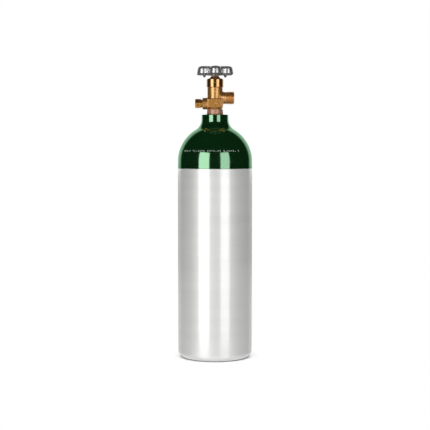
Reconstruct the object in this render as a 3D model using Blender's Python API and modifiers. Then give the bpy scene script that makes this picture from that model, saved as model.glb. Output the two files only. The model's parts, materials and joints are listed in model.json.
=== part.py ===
"""A portable aluminium oxygen cylinder with its brass post valve, as one assembly of separate parts.

The origin is on the floor at the cylinder's axis, +Z up. The valve's outlet points along +X and its
safety device along -X. Every valve part hangs from an empty at the neck's seat, and heights in the valve
are counted from there. The valve is shut: the seat insert rests a hair above the seat.
"""

import math

import bmesh
import bpy
from mathutils import Matrix

MM = 0.001

# --- fits -------------------------------------------------------------------------------------------
GAP = 0.3 * MM  # between pieces that rest on each other
RUNNING = 0.2 * MM  # radial, around the turning stem
THREAD_PLAY = 0.3 * MM  # radial, between a plain thread core and its plain bore

# --- cylinder shell ---------------------------------------------------------------------------------
CYLINDER_RADIUS = 66.7 * MM  # 5.25 in outside diameter
SHELL_HEIGHT = 437.2 * MM  # floor to the lacquered top of the neck
WALL = 6.4 * MM
BASE_THICKNESS = 11.0 * MM
BASE_CORNER = 12.0 * MM
STANDING_WIDTH = 6.0 * MM  # the flat ring that the cylinder stands on
DISH_DEPTH = 4.0 * MM
INNER_CORNER = 16.0 * MM
SHOULDER_RISE = 65.6 * MM  # height of the elliptical dome
NECK_STAND = 17.5 * MM  # the neck's top above the dome's own apex
NECK_RADIUS = 24.0 * MM
NECK_FILLET = 22.0 * MM
NECK_EDGE = 1.2 * MM
CROWN_WALL = 12.0 * MM
LACQUER = 0.4 * MM
LACQUER_SKIRT = 13.2 * MM  # how far the lacquer runs down below the dome

# --- neck joint -------------------------------------------------------------------------------------
INLET_RADIUS = 9.2 * MM  # 3/4 in straight inlet thread
INLET_LENGTH = 22.0 * MM
O_RING_SECTION = 1.25 * MM  # radius of its round section

# --- valve body -------------------------------------------------------------------------------------
COLLAR_RADIUS = 14.8 * MM
COLLAR_TAPER = 0.8 * MM
COLLAR_HEIGHT = 10.0 * MM
BLOCK_CHAMFER = 3.3 * MM  # turned undercut between the collar and the wrench block
BLOCK_WIDTH = 28.5 * MM
BLOCK_HEIGHT = 15.5 * MM
BLOCK_EDGE = 2.2 * MM
BARREL_RADIUS = 13.85 * MM
BARREL_HEIGHT = 20.4 * MM  # above the block
INLET_PASSAGE_RADIUS = 3.2 * MM
ORIFICE_RADIUS = 2.2 * MM
ORIFICE_LENGTH = 2.8 * MM
SEAT_RIM_WIDTH = 1.8 * MM
SEAT_RIM_HEIGHT = 0.8 * MM

# --- outlet and safety device -----------------------------------------------------------------------
OUTLET_HEIGHT = 30.3 * MM
OUTLET_REACH = 34.4 * MM  # from the axis to the outlet's face
OUTLET_NECK_RADIUS = 10.9 * MM
THREAD_RADIUS = 11.47 * MM  # 0.903-14 external thread, at its crests
THREAD_DEPTH = 1.0 * MM
THREAD_PITCH = 25.4 * MM / 14
THREAD_COUNT = 9
THREAD_CHAMFER = 1.3 * MM
MOUTH_RADIUS = 7.6 * MM
MOUTH_DEPTH = 6.5 * MM
NIPPLE_CONE_DEPTH = 6.0 * MM
OUTLET_PASSAGE_RADIUS = 2.6 * MM
SAFETY_HEIGHT = 20.3 * MM
SAFETY_REACH = 22.7 * MM
SAFETY_BOSS_RADIUS = 10.6 * MM
SAFETY_THREAD_RADIUS = 5.9 * MM
SAFETY_THREAD_LENGTH = 9.6 * MM
SAFETY_PASSAGE_RADIUS = 1.6 * MM
SAFETY_WAIST_RADIUS = 7.4 * MM
SAFETY_WAIST_LENGTH = 2.2 * MM
SAFETY_HEX = 15.9 * MM  # across flats
SAFETY_HEX_TURN = math.radians(6)
SAFETY_HEAD_LENGTH = 10.5 * MM
SAFETY_BORE_RADIUS = 2.6 * MM
VENT_RADIUS = 1.4 * MM
VENT_COUNT = 6
DISC_THICKNESS = 0.4 * MM
DISC_GASKET_THICKNESS = 0.7 * MM

# --- bonnet and packing -----------------------------------------------------------------------------
BONNET_HEX = 29.4 * MM  # across its six shallow flats
BONNET_TURN = math.radians(30)  # a flat faces the front
BONNET_CORNER_RADIUS = 15.35 * MM  # its corners are turned down to this
BONNET_HEIGHT = 15.3 * MM
BONNET_CHAMFER_RADIUS = 13.0 * MM
BONNET_CHAMFER_HEIGHT = 2.0 * MM
BONNET_FOOT_CHAMFER = 0.6 * MM
BONNET_THREAD_RADIUS = 9.8 * MM
BONNET_GASKET_THICKNESS = 0.8 * MM
CONE_FOOT_RADIUS = 10.1 * MM
CONE_HEIGHT = 4.7 * MM
CONE_TOP_RADIUS = 6.2 * MM
CONE_FOOT_HEIGHT = 0.8 * MM
PACKING_RADIUS = 6.6 * MM
PACKING_HEIGHT = 2.8 * MM
PACKING_RISE = 0.5 * MM  # of the ridge that nests in the next ring's hollow
FOLLOWER_HEIGHT = 1.5 * MM

# --- stem and lower plug ----------------------------------------------------------------------------
STEM_RADIUS = 4.0 * MM
STEM_SQUARE = 5.6 * MM
STEM_TIP_RADIUS = 2.4 * MM
FLANGE_RADIUS = 7.2 * MM
FLANGE_HEIGHT = 2.5 * MM
THRUST_WASHER_THICKNESS = 0.9 * MM
TANG_WIDTH = 10.0 * MM
TANG_THICKNESS = 3.0 * MM
PLUG_RADIUS = 6.85 * MM
PLUG_HEIGHT = 9.8 * MM
PLUG_SLOT_DEPTH = 6.0 * MM
PLUG_PITCH = 1.27 * MM  # 20 threads to the inch
PLUG_TURNS = 2.25
CHAMBER_HEIGHT = 7.0 * MM
INSERT_RADIUS = 4.1 * MM
INSERT_HEIGHT = 2.3 * MM
INSERT_STAND = 0.6 * MM  # how far the insert shows below the plug

# --- handwheel --------------------------------------------------------------------------------------
LOBES = 6
LOBE_RADIUS = 11.3 * MM
LOBE_CENTRE = 24.2 * MM
VALLEY_FILLET = 3.6 * MM
WHEEL_TURN = math.radians(2)  # where the wheel was left
RIM_HEIGHT = 14.8 * MM
RIM_ROUND = 3.0 * MM
RIM_HOLE_RADIUS = 18.6 * MM
HUB_WALL = 1.5 * MM  # around the nut's recess
HUB_HEIGHT = 11.2 * MM
HUB_BELOW_RIM = 0.7 * MM
HUB_RECESS_DEPTH = 4.2 * MM
HUB_RECESS_PLAY = 0.35 * MM  # radial, around the spring washer
SPOKE_WIDTH = 5.6 * MM
SPOKE_HEIGHT = 5.0 * MM
SPOKE_LIFT = 3.4 * MM  # its underside above the rim's
LUG_RADIUS = 2.6 * MM
LUG_DRAFT = 1.2 * MM
LUG_DROP = 4.0 * MM
LUG_AT = 21.8 * MM
HUB_WASHER_THICKNESS = 0.8 * MM
HUB_WASHER_WIDTH = 3.2 * MM
SPRING_THICKNESS = 0.6 * MM
SPRING_RISE = 0.7 * MM
SPRING_WIDTH = 2.4 * MM
WHEEL_WASHER_THICKNESS = 0.8 * MM
WHEEL_WASHER_WIDTH = 3.0 * MM
WHEEL_NUT_HEX = 8.0 * MM
WHEEL_NUT_HEIGHT = 4.0 * MM

# --- anti-debris tube -------------------------------------------------------------------------------
DEBRIS_TUBE_RADIUS = 4.1 * MM
DEBRIS_TUBE_WALL = 0.9 * MM
DEBRIS_TUBE_LENGTH = 45.0 * MM
DEBRIS_TUBE_SEAT = 10.0 * MM

# --- fineness ---------------------------------------------------------------------------------------
BODY_STEPS = 40
VALVE_STEPS = 32
SMALL_STEPS = 24
ARC_STEPS = 3
DOME_STEPS = 8
LOBE_STEPS = 9
OVERSHOOT = 2.0 * MM  # cutters run past the wall that they cut
MERGE = 0.00001

# --- heights worked out from the sizes above --------------------------------------------------------
LACQUER_INSET = LACQUER + GAP
DOME_BASE = SHELL_HEIGHT - NECK_STAND - SHOULDER_RISE
LACQUER_EDGE = DOME_BASE - LACQUER_SKIRT
NECK_SEAT = SHELL_HEIGHT - LACQUER_INSET + GAP  # the underside of the valve's collar
INLET_BORE_RADIUS = INLET_RADIUS + THREAD_PLAY
GLAND_RADIUS = INLET_BORE_RADIUS + 2 * O_RING_SECTION + 2 * GAP  # the O-ring's pocket
GLAND_DEPTH = 2 * O_RING_SECTION + GAP
INNER_RADIUS = CYLINDER_RADIUS - WALL

BLOCK_BOTTOM = COLLAR_HEIGHT + BLOCK_CHAMFER
BLOCK_TOP = BLOCK_BOTTOM + BLOCK_HEIGHT
BARREL_TOP = BLOCK_TOP + BARREL_HEIGHT
SEAT_FLOOR = OUTLET_HEIGHT - OUTLET_PASSAGE_RADIUS - 3.0 * MM
SEAT_TOP = SEAT_FLOOR + SEAT_RIM_HEIGHT
CHAMBER_TOP = SEAT_FLOOR + CHAMBER_HEIGHT
INSERT_BOTTOM = SEAT_TOP + GAP
PLUG_BOTTOM = INSERT_BOTTOM + INSERT_STAND
PLUG_TOP = PLUG_BOTTOM + PLUG_HEIGHT
PLUG_LIFT = PLUG_PITCH * PLUG_TURNS
PLUG_BORE_RADIUS = PLUG_RADIUS + THREAD_PLAY
CHAMBER_RADIUS = PLUG_BORE_RADIUS + 1.0 * MM
FLANGE_BOTTOM = PLUG_TOP + PLUG_LIFT + 1.1 * MM
FLANGE_TOP = FLANGE_BOTTOM + FLANGE_HEIGHT
TANG_BOTTOM = PLUG_TOP - PLUG_SLOT_DEPTH + PLUG_LIFT + GAP
THRUST_WASHER_BOTTOM = FLANGE_TOP + GAP
BONNET_POCKET_TOP = THRUST_WASHER_BOTTOM + THRUST_WASHER_THICKNESS + GAP
BONNET_POCKET_RADIUS = FLANGE_RADIUS + 2 * RUNNING
LEDGE = PLUG_TOP - 0.1 * MM
BONNET_GASKET_BOTTOM = LEDGE + GAP
BONNET_BOTTOM = BONNET_GASKET_BOTTOM + BONNET_GASKET_THICKNESS + GAP
BONNET_BORE_RADIUS = BONNET_THREAD_RADIUS + THREAD_PLAY
BONNET_SEAT = BARREL_TOP + GAP
BONNET_TOP = BONNET_SEAT + BONNET_HEIGHT
STEM_BORE_RADIUS = STEM_RADIUS + RUNNING
RING_INNER_RADIUS = STEM_RADIUS + GAP
SQUARE_CLEAR_RADIUS = max(STEM_RADIUS, STEM_SQUARE / math.sqrt(2)) + GAP
SPRING_INNER_RADIUS = STEM_SQUARE / math.sqrt(2) + GAP
SPRING_OUTER_RADIUS = SPRING_INNER_RADIUS + SPRING_WIDTH
HUB_RECESS_RADIUS = max(SPRING_OUTER_RADIUS, STEM_TIP_RADIUS + GAP + WHEEL_WASHER_WIDTH) + HUB_RECESS_PLAY
HUB_RADIUS = HUB_RECESS_RADIUS + HUB_WALL
PACKING_BORE_RADIUS = PACKING_RADIUS + THREAD_PLAY
FOLLOWER_BOTTOM = BONNET_POCKET_TOP
LOWER_PACKING_BOTTOM = FOLLOWER_BOTTOM + FOLLOWER_HEIGHT + GAP
UPPER_PACKING_BOTTOM = LOWER_PACKING_BOTTOM + PACKING_HEIGHT - PACKING_RISE + GAP
PACKING_CEILING = UPPER_PACKING_BOTTOM + PACKING_HEIGHT + GAP
CONE_TOP = BONNET_TOP + CONE_HEIGHT
HUB_WASHER_BOTTOM = CONE_TOP + GAP
HUB_BOTTOM = HUB_WASHER_BOTTOM + HUB_WASHER_THICKNESS + GAP
HUB_TOP = HUB_BOTTOM + HUB_HEIGHT
RECESS_FLOOR = HUB_TOP - HUB_RECESS_DEPTH
RIM_BOTTOM = HUB_BOTTOM + HUB_BELOW_RIM
RIM_TOP = RIM_BOTTOM + RIM_HEIGHT
SPRING_BOTTOM = RECESS_FLOOR + GAP
WHEEL_WASHER_BOTTOM = SPRING_BOTTOM + SPRING_THICKNESS + SPRING_RISE + GAP
WHEEL_NUT_BOTTOM = WHEEL_WASHER_BOTTOM + WHEEL_WASHER_THICKNESS + GAP
WHEEL_NUT_TOP = WHEEL_NUT_BOTTOM + WHEEL_NUT_HEIGHT
STEM_TOP = WHEEL_NUT_TOP + 0.4 * MM

SAFETY_PORT_RADIUS = SAFETY_THREAD_RADIUS + THREAD_PLAY
DISC_RADIUS = SAFETY_THREAD_RADIUS - 0.3 * MM
SHANK_TIP = SAFETY_REACH + GAP - SAFETY_THREAD_LENGTH  # the safety plug's inner end, from the axis
DISC_OUTER = SHANK_TIP - GAP
DISC_INNER = DISC_OUTER - DISC_THICKNESS
DISC_GASKET_OUTER = DISC_INNER - GAP
DISC_GASKET_INNER = DISC_GASKET_OUTER - DISC_GASKET_THICKNESS
SAFETY_PORT_FLOOR = DISC_GASKET_INNER - GAP


# --- scene ------------------------------------------------------------------------------------------
def clear_scene():
    for thing in list(bpy.data.objects):
        bpy.data.objects.remove(thing)


def new_collection(name):
    collection = bpy.data.collections.new(name)
    bpy.context.scene.collection.children.link(collection)
    return collection


def material(name, colour, metallic, roughness):
    made = bpy.data.materials.new(name)
    made.use_nodes = True
    made.diffuse_color = (*colour, 1)
    shader = made.node_tree.nodes["Principled BSDF"]
    shader.inputs["Base Color"].default_value = (*colour, 1)
    shader.inputs["Metallic"].default_value = metallic
    shader.inputs["Roughness"].default_value = roughness
    return made


def frame(name, parent=None, location=(0, 0, 0), rotation=(0, 0, 0)):
    """An empty that pieces hang from."""
    empty = bpy.data.objects.new(name, None)
    empty.empty_display_size = 0.01
    empty.location = location
    empty.rotation_euler = rotation
    empty.parent = parent
    parts.objects.link(empty)
    return empty


def place(mesh, name, look, parent, helper):
    """A mesh as a part, or as a helper that cuts or joins."""
    thing = bpy.data.objects.new(name, mesh)
    thing.parent = parent
    (helpers if helper else parts).objects.link(thing)
    thing.hide_render = helper
    if helper:
        thing.display_type = "WIRE"
    elif look:
        mesh.materials.append(look)
    return thing


# --- shapes -----------------------------------------------------------------------------------------
def arc(centre, radius, start, end, steps=ARC_STEPS):
    """Points on an arc in the (radius, height) plane, from one angle in degrees to another."""
    angles = [math.radians(start + (end - start) * i / steps) for i in range(steps + 1)]
    return [(centre[0] + radius * math.cos(a), centre[1] + radius * math.sin(a)) for a in angles]


def turned(name, outline, look=None, parent=None, steps=VALVE_STEPS, helper=False):
    """A turned solid. outline holds (radius, height) and runs down the outer side, from axis to axis, or
    all the way round where it never meets the axis."""
    points = [(radius, 0, height) for radius, height in outline]
    edges = [(i, i + 1) for i in range(len(points) - 1)]
    if min(radius for radius, _ in outline) > MERGE:
        edges.append((len(points) - 1, 0))
    mesh = bpy.data.meshes.new(name)
    mesh.from_pydata(points, edges, [])
    thing = place(mesh, name, look, parent, helper)
    screw = thing.modifiers.new("turn", "SCREW")
    screw.steps = screw.render_steps = steps
    screw.use_merge_vertices = True
    screw.merge_threshold = MERGE
    screw.use_smooth_shade = True
    return thing


def ring(name, outer, inner, bottom, height, look, parent, steps=SMALL_STEPS):
    """A flat ring of rectangular section."""
    top = bottom + height
    outline = [(inner, top), (outer, top), (outer, bottom), (inner, bottom)]
    return turned(name, outline, look, parent, steps)


def rod(name, radius, bottom, top, look=None, parent=None, steps=SMALL_STEPS, helper=True):
    """A plain solid cylinder along the parent's Z."""
    outline = [(0, top), (radius, top), (radius, bottom), (0, bottom)]
    return turned(name, outline, look, parent, steps, helper)


def box(name, size, centre, look=None, parent=None, turn=0, edge=0, helper=True):
    """A block, with its upright edges rounded by edge."""
    mesh = bpy.data.meshes.new(name)
    shape = bmesh.new()
    bmesh.ops.create_cube(shape, size=1)
    bmesh.ops.scale(shape, vec=size, verts=shape.verts)
    if edge:
        upright = [e for e in shape.edges if abs(e.verts[0].co.z - e.verts[1].co.z) > MERGE]
        bmesh.ops.bevel(shape, geom=upright, offset=edge, segments=3, affect="EDGES", profile=0.5)
    bmesh.ops.translate(shape, vec=centre, verts=shape.verts)
    bmesh.ops.rotate(shape, cent=(0, 0, 0), matrix=Matrix.Rotation(turn, 3, "Z"), verts=shape.verts)
    shape.to_mesh(mesh)
    shape.free()
    return place(mesh, name, look, parent, helper)


def hexagon(name, across_flats, bottom, top, look=None, parent=None, turn=0, helper=True):
    """A hexagonal prism along the parent's Z, with a flat towards +X when turn is 0."""
    mesh = bpy.data.meshes.new(name)
    shape = bmesh.new()
    corner = across_flats / math.sqrt(3)
    move = Matrix.Translation((0, 0, (bottom + top) / 2)) @ Matrix.Rotation(turn, 4, "Z")
    bmesh.ops.create_cone(
        shape, cap_ends=True, segments=6, radius1=corner, radius2=corner, depth=top - bottom, matrix=move
    )
    shape.to_mesh(mesh)
    shape.free()
    return place(mesh, name, look, parent, helper)


def combine(target, other, operation):
    change = target.modifiers.new(f"{operation.lower()} {other.name}", "BOOLEAN")
    change.operation = operation
    change.object = other


def cut(target, *cutters):
    for cutter in cutters:
        combine(target, cutter, "DIFFERENCE")


def join(target, *others):
    for other in others:
        combine(target, other, "UNION")


# --- cylinder ---------------------------------------------------------------------------------------
def shoulder_point(angle, inset=0.0):
    """A point on the dome at a parametric angle, moved inwards by inset along the surface's normal."""
    across, up = math.cos(angle), math.sin(angle)
    normal = (SHOULDER_RISE * across, CYLINDER_RADIUS * up)
    length = math.hypot(*normal)
    return (
        CYLINDER_RADIUS * across - inset * normal[0] / length,
        DOME_BASE + SHOULDER_RISE * up - inset * normal[1] / length,
    )


def neck_fillet():
    """Where the fillet meets the dome: (parametric angle, fillet centre, slope of the dome's normal there)."""
    low, high = 0.0, math.pi / 2
    for _ in range(60):
        middle = (low + high) / 2
        centre = shoulder_point(middle, -NECK_FILLET)
        if centre[0] > NECK_RADIUS + NECK_FILLET:
            low = middle
        else:
            high = middle
    slope = math.degrees(math.atan2(CYLINDER_RADIUS * math.sin(low), SHOULDER_RISE * math.cos(low)))
    return low, shoulder_point(low, -NECK_FILLET), slope


def crown_outline(inset):
    """The outer line of the neck and the shoulder, from the neck's top edge down to the dome's base."""
    meeting, centre, slope = neck_fillet()
    corner = inset * (math.sqrt(2) - 1)  # keeps the neck's chamfer parallel to itself
    points = [
        (NECK_RADIUS - NECK_EDGE - corner, SHELL_HEIGHT - inset),
        (NECK_RADIUS - inset, SHELL_HEIGHT - NECK_EDGE - corner),
    ]
    points += arc(centre, NECK_FILLET + inset, 180, 180 + slope)
    angles = [meeting * (1 - i / DOME_STEPS) for i in range(1, DOME_STEPS + 1)]
    return points + [shoulder_point(angle, inset) for angle in angles]


def cylinder_shell(look):
    """The seamless shell: inner floor, wall and dome, neck bore, then the outside down to the dished base."""
    crown_rise = SHOULDER_RISE - CROWN_WALL
    bore_angle = math.acos(INLET_BORE_RADIUS / INNER_RADIUS)
    inner_dome = [
        (
            INNER_RADIUS * math.cos(bore_angle * i / DOME_STEPS),
            DOME_BASE + crown_rise * math.sin(bore_angle * i / DOME_STEPS),
        )
        for i in range(DOME_STEPS + 1)
    ]
    top = SHELL_HEIGHT - LACQUER_INSET
    inside = [(0, BASE_THICKNESS)]
    inside += arc(
        (INNER_RADIUS - INNER_CORNER, BASE_THICKNESS + INNER_CORNER), INNER_CORNER, -90, 0
    )
    inside += inner_dome
    inside += [(INLET_BORE_RADIUS, top - GLAND_DEPTH), (GLAND_RADIUS, top - GLAND_DEPTH), (GLAND_RADIUS, top)]
    step = LACQUER_EDGE - GAP
    outside = crown_outline(LACQUER_INSET)
    outside += [(CYLINDER_RADIUS - LACQUER_INSET, step), (CYLINDER_RADIUS, step)]
    outside += arc((CYLINDER_RADIUS - BASE_CORNER, BASE_CORNER), BASE_CORNER, 0, -90)
    dish_radius = CYLINDER_RADIUS - BASE_CORNER - STANDING_WIDTH
    outside += [
        (dish_radius * (1 - i / ARC_STEPS), DISH_DEPTH * (1 - (1 - i / ARC_STEPS) ** 2))
        for i in range(ARC_STEPS + 1)
    ]
    return turned("cylinder_shell", inside + outside, look, steps=BODY_STEPS)


def shoulder_lacquer(look):
    """The green coat over the shoulder and neck, open around the valve's collar."""
    hole = max(COLLAR_RADIUS, GLAND_RADIUS) + 1.5 * MM
    outer = [(hole, SHELL_HEIGHT)] + crown_outline(0) + [(CYLINDER_RADIUS, LACQUER_EDGE)]
    inner = [(hole, SHELL_HEIGHT - LACQUER)] + crown_outline(LACQUER)
    inner += [(CYLINDER_RADIUS - LACQUER, LACQUER_EDGE)]
    return turned("shoulder_lacquer", outer + inner[::-1], look, steps=BODY_STEPS)


def neck_o_ring(look):
    middle = INLET_BORE_RADIUS + O_RING_SECTION + GAP
    height = -GAP - GLAND_DEPTH + GAP / 2 + O_RING_SECTION
    outline = arc((middle, height), O_RING_SECTION, 90, -270, 8)[:-1]
    return turned("neck_o_ring", outline, look, valve_frame)


# --- valve body -------------------------------------------------------------------------------------
def valve_body(look):
    """One forging: inlet shank, collar, wrench block and barrel, with the outlet and safety bosses."""
    core = turned(
        "valve_body",
        [
            (0, BARREL_TOP),
            (BARREL_RADIUS - 0.4 * MM, BARREL_TOP),
            (BARREL_RADIUS, BARREL_TOP - 0.4 * MM),
            (BARREL_RADIUS, BLOCK_BOTTOM),
            (COLLAR_RADIUS - COLLAR_TAPER, COLLAR_HEIGHT),
            (COLLAR_RADIUS, 0.6 * MM),
            (COLLAR_RADIUS - 0.6 * MM, 0),
            (INLET_RADIUS, 0),
            (INLET_RADIUS, 1.0 * MM - INLET_LENGTH),
            (INLET_RADIUS - 1.0 * MM, -INLET_LENGTH),
            (0, -INLET_LENGTH),
        ],
        look,
        valve_frame,
    )
    block_middle = BLOCK_BOTTOM + BLOCK_HEIGHT / 2
    block = box(
        "wrench block",
        (BLOCK_WIDTH, BLOCK_WIDTH, BLOCK_HEIGHT),
        (0, 0, block_middle),
        parent=valve_frame,
        edge=BLOCK_EDGE,
    )
    join(core, block, outlet_arm(), safety_boss())
    cut(core, main_bore(), outlet_bore(), safety_port())
    return core


def outlet_arm():
    """The outlet boss along the outlet frame's Z, its thread drawn as rings."""
    root = THREAD_RADIUS - THREAD_DEPTH
    thread_start = OUTLET_REACH - THREAD_CHAMFER - THREAD_COUNT * THREAD_PITCH
    outline = [(0, OUTLET_REACH), (THREAD_RADIUS - THREAD_CHAMFER, OUTLET_REACH)]
    for i in range(THREAD_COUNT):
        crest = OUTLET_REACH - THREAD_CHAMFER - i * THREAD_PITCH
        outline += [(THREAD_RADIUS, crest), (root, crest - THREAD_PITCH / 2)]
    outline += [(OUTLET_NECK_RADIUS, thread_start), (OUTLET_NECK_RADIUS, 0), (0, 0)]
    return turned("outlet arm", outline, parent=outlet_frame, helper=True)


def safety_boss():
    outline = [
        (0, SAFETY_REACH),
        (SAFETY_BOSS_RADIUS - 0.8 * MM, SAFETY_REACH),
        (SAFETY_BOSS_RADIUS, SAFETY_REACH - 0.8 * MM),
        (SAFETY_BOSS_RADIUS, 0),
        (0, 0),
    ]
    return turned("safety boss", outline, parent=safety_frame, helper=True)


def main_bore():
    """From the bonnet's thread down past the seat to the inlet. The seat's rim stands up in the chamber."""
    rim = ORIFICE_RADIUS + SEAT_RIM_WIDTH
    outline = [
        (0, BARREL_TOP + OVERSHOOT),
        (BONNET_BORE_RADIUS, BARREL_TOP + OVERSHOOT),
        (BONNET_BORE_RADIUS, LEDGE),
        (PLUG_BORE_RADIUS, LEDGE),
        (PLUG_BORE_RADIUS, CHAMBER_TOP),
        (CHAMBER_RADIUS, CHAMBER_TOP),
        (CHAMBER_RADIUS, SEAT_FLOOR),
        (rim, SEAT_FLOOR),
        (rim, SEAT_TOP),
        (ORIFICE_RADIUS, SEAT_TOP),
        (ORIFICE_RADIUS, SEAT_TOP - ORIFICE_LENGTH),
        (INLET_PASSAGE_RADIUS, SEAT_TOP - ORIFICE_LENGTH),
        (INLET_PASSAGE_RADIUS, DEBRIS_TUBE_SEAT - INLET_LENGTH),
        (DEBRIS_TUBE_RADIUS + GAP, DEBRIS_TUBE_SEAT - INLET_LENGTH),
        (DEBRIS_TUBE_RADIUS + GAP, -INLET_LENGTH - OVERSHOOT),
        (0, -INLET_LENGTH - OVERSHOOT),
    ]
    return turned("main bore", outline, parent=valve_frame, steps=SMALL_STEPS, helper=True)


def outlet_bore():
    cone_end = OUTLET_REACH - MOUTH_DEPTH - NIPPLE_CONE_DEPTH
    chamber = PLUG_BORE_RADIUS - 1.5 * MM
    outline = [
        (0, OUTLET_REACH + OVERSHOOT),
        (MOUTH_RADIUS, OUTLET_REACH + OVERSHOOT),
        (MOUTH_RADIUS, OUTLET_REACH - MOUTH_DEPTH),
        (OUTLET_PASSAGE_RADIUS + 1.2 * MM, cone_end),
        (OUTLET_PASSAGE_RADIUS, cone_end),
        (OUTLET_PASSAGE_RADIUS, chamber),
        (0, chamber),
    ]
    return turned("outlet bore", outline, parent=outlet_frame, steps=SMALL_STEPS, helper=True)


def safety_port():
    outline = [
        (0, SAFETY_REACH + OVERSHOOT),
        (SAFETY_PORT_RADIUS, SAFETY_REACH + OVERSHOOT),
        (SAFETY_PORT_RADIUS, SAFETY_PORT_FLOOR),
        (SAFETY_PASSAGE_RADIUS, SAFETY_PORT_FLOOR),
        (SAFETY_PASSAGE_RADIUS, 0),
        (0, 0),
    ]
    return turned("safety port", outline, parent=safety_frame, steps=SMALL_STEPS, helper=True)


def debris_tube(look):
    """A short tube that keeps loose particles in the cylinder out of the valve."""
    top = DEBRIS_TUBE_SEAT - INLET_LENGTH - GAP
    inner = DEBRIS_TUBE_RADIUS - DEBRIS_TUBE_WALL
    return ring(
        "debris_tube", DEBRIS_TUBE_RADIUS, inner, top - DEBRIS_TUBE_LENGTH, DEBRIS_TUBE_LENGTH, look, valve_frame
    )


# --- safety device ----------------------------------------------------------------------------------
def safety_plug(look):
    """The hexagon-headed retainer of the burst disc, bored from its tip and vented through its sides."""
    boss_face = SAFETY_REACH + GAP
    head_start = boss_face + SAFETY_WAIST_LENGTH
    head_end = head_start + SAFETY_HEAD_LENGTH
    corner = SAFETY_HEX / math.sqrt(3)
    shank = turned(
        "safety_plug",
        [
            (0, head_start + 1.0 * MM),
            (SAFETY_WAIST_RADIUS, head_start + 1.0 * MM),
            (SAFETY_WAIST_RADIUS, boss_face),
            (SAFETY_THREAD_RADIUS, boss_face),
            (SAFETY_THREAD_RADIUS, SHANK_TIP + 0.6 * MM),
            (SAFETY_THREAD_RADIUS - 0.6 * MM, SHANK_TIP),
            (0, SHANK_TIP),
        ],
        look,
        safety_frame,
        SMALL_STEPS,
    )
    head = hexagon("safety head", SAFETY_HEX, head_start, head_end, parent=safety_frame, turn=SAFETY_HEX_TURN)
    rounding = turned(
        "safety head rounding",
        [
            (0, head_end + OVERSHOOT),
            (corner - 1.8 * MM, head_end + OVERSHOOT),
            (corner - 1.8 * MM, head_end),
            (corner, head_end - 1.2 * MM),
            (corner, head_start + 0.6 * MM),
            (corner - 1.0 * MM, head_start),
            (corner - 1.0 * MM, head_start - OVERSHOOT),
            (0, head_start - OVERSHOOT),
        ],
        parent=safety_frame,
        helper=True,
    )
    combine(head, rounding, "INTERSECT")
    join(shank, head)
    vent_height = head_start + SAFETY_HEAD_LENGTH / 2
    bore = rod(
        "safety bore",
        SAFETY_BORE_RADIUS,
        SHANK_TIP - OVERSHOOT,
        vent_height + VENT_RADIUS + 0.6 * MM,
        parent=safety_frame,
    )
    cut(shank, bore)
    for i in range(VENT_COUNT // 2):
        turn = SAFETY_HEX_TURN + math.radians(30) + i * math.tau / VENT_COUNT
        across = frame(f"vent frame {i}", safety_frame, (0, 0, vent_height), (math.pi / 2, 0, turn))
        cut(shank, rod(f"vent {i}", VENT_RADIUS, -SAFETY_HEX, SAFETY_HEX, parent=across, steps=12))
    return shank


def burst_disc(look):
    outline = [(0, DISC_OUTER), (DISC_RADIUS, DISC_OUTER), (DISC_RADIUS, DISC_INNER), (0, DISC_INNER)]
    return turned("burst_disc", outline, look, safety_frame, SMALL_STEPS)


def burst_disc_gasket(look):
    return ring(
        "burst_disc_gasket",
        DISC_RADIUS,
        SAFETY_PASSAGE_RADIUS + 0.8 * MM,
        DISC_GASKET_INNER,
        DISC_GASKET_THICKNESS,
        look,
        safety_frame,
    )


# --- bonnet and packing -----------------------------------------------------------------------------
def bonnet(look):
    """Screwed into the barrel: round with six shallow flats, and a turned cone on top. The packing goes in
    from below."""
    core = turned(
        "bonnet",
        [
            (0, CONE_TOP),
            (CONE_TOP_RADIUS, CONE_TOP),
            (CONE_FOOT_RADIUS - CONE_FOOT_HEIGHT / 2, BONNET_TOP + CONE_FOOT_HEIGHT),
            (CONE_FOOT_RADIUS, BONNET_TOP - 1.0 * MM),
            (BONNET_THREAD_RADIUS, BONNET_SEAT + 1.0 * MM),
            (BONNET_THREAD_RADIUS, BONNET_BOTTOM + 0.6 * MM),
            (BONNET_THREAD_RADIUS - 0.6 * MM, BONNET_BOTTOM),
            (0, BONNET_BOTTOM),
        ],
        look,
        valve_frame,
    )
    head = hexagon("bonnet head", BONNET_HEX, BONNET_SEAT, BONNET_TOP, parent=valve_frame, turn=BONNET_TURN)
    turning = turned(
        "bonnet turning",
        [
            (0, BONNET_TOP + OVERSHOOT),
            (BONNET_CHAMFER_RADIUS, BONNET_TOP + OVERSHOOT),
            (BONNET_CHAMFER_RADIUS, BONNET_TOP),
            (BONNET_CORNER_RADIUS, BONNET_TOP - BONNET_CHAMFER_HEIGHT),
            (BONNET_CORNER_RADIUS, BONNET_SEAT + BONNET_FOOT_CHAMFER),
            (BONNET_CORNER_RADIUS - BONNET_FOOT_CHAMFER, BONNET_SEAT),
            (BONNET_CORNER_RADIUS - BONNET_FOOT_CHAMFER, BONNET_SEAT - OVERSHOOT),
            (0, BONNET_SEAT - OVERSHOOT),
        ],
        parent=valve_frame,
        steps=2 * VALVE_STEPS,
        helper=True,
    )
    combine(head, turning, "INTERSECT")
    join(core, head)
    bore = turned(
        "bonnet bore",
        [
            (0, CONE_TOP + OVERSHOOT),
            (STEM_BORE_RADIUS, CONE_TOP + OVERSHOOT),
            (STEM_BORE_RADIUS, PACKING_CEILING),
            (PACKING_BORE_RADIUS, PACKING_CEILING),
            (PACKING_BORE_RADIUS, BONNET_POCKET_TOP),
            (BONNET_POCKET_RADIUS, BONNET_POCKET_TOP),
            (BONNET_POCKET_RADIUS, BONNET_BOTTOM - OVERSHOOT),
            (0, BONNET_BOTTOM - OVERSHOOT),
        ],
        parent=valve_frame,
        steps=SMALL_STEPS,
        helper=True,
    )
    cut(core, bore)
    return core


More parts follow.
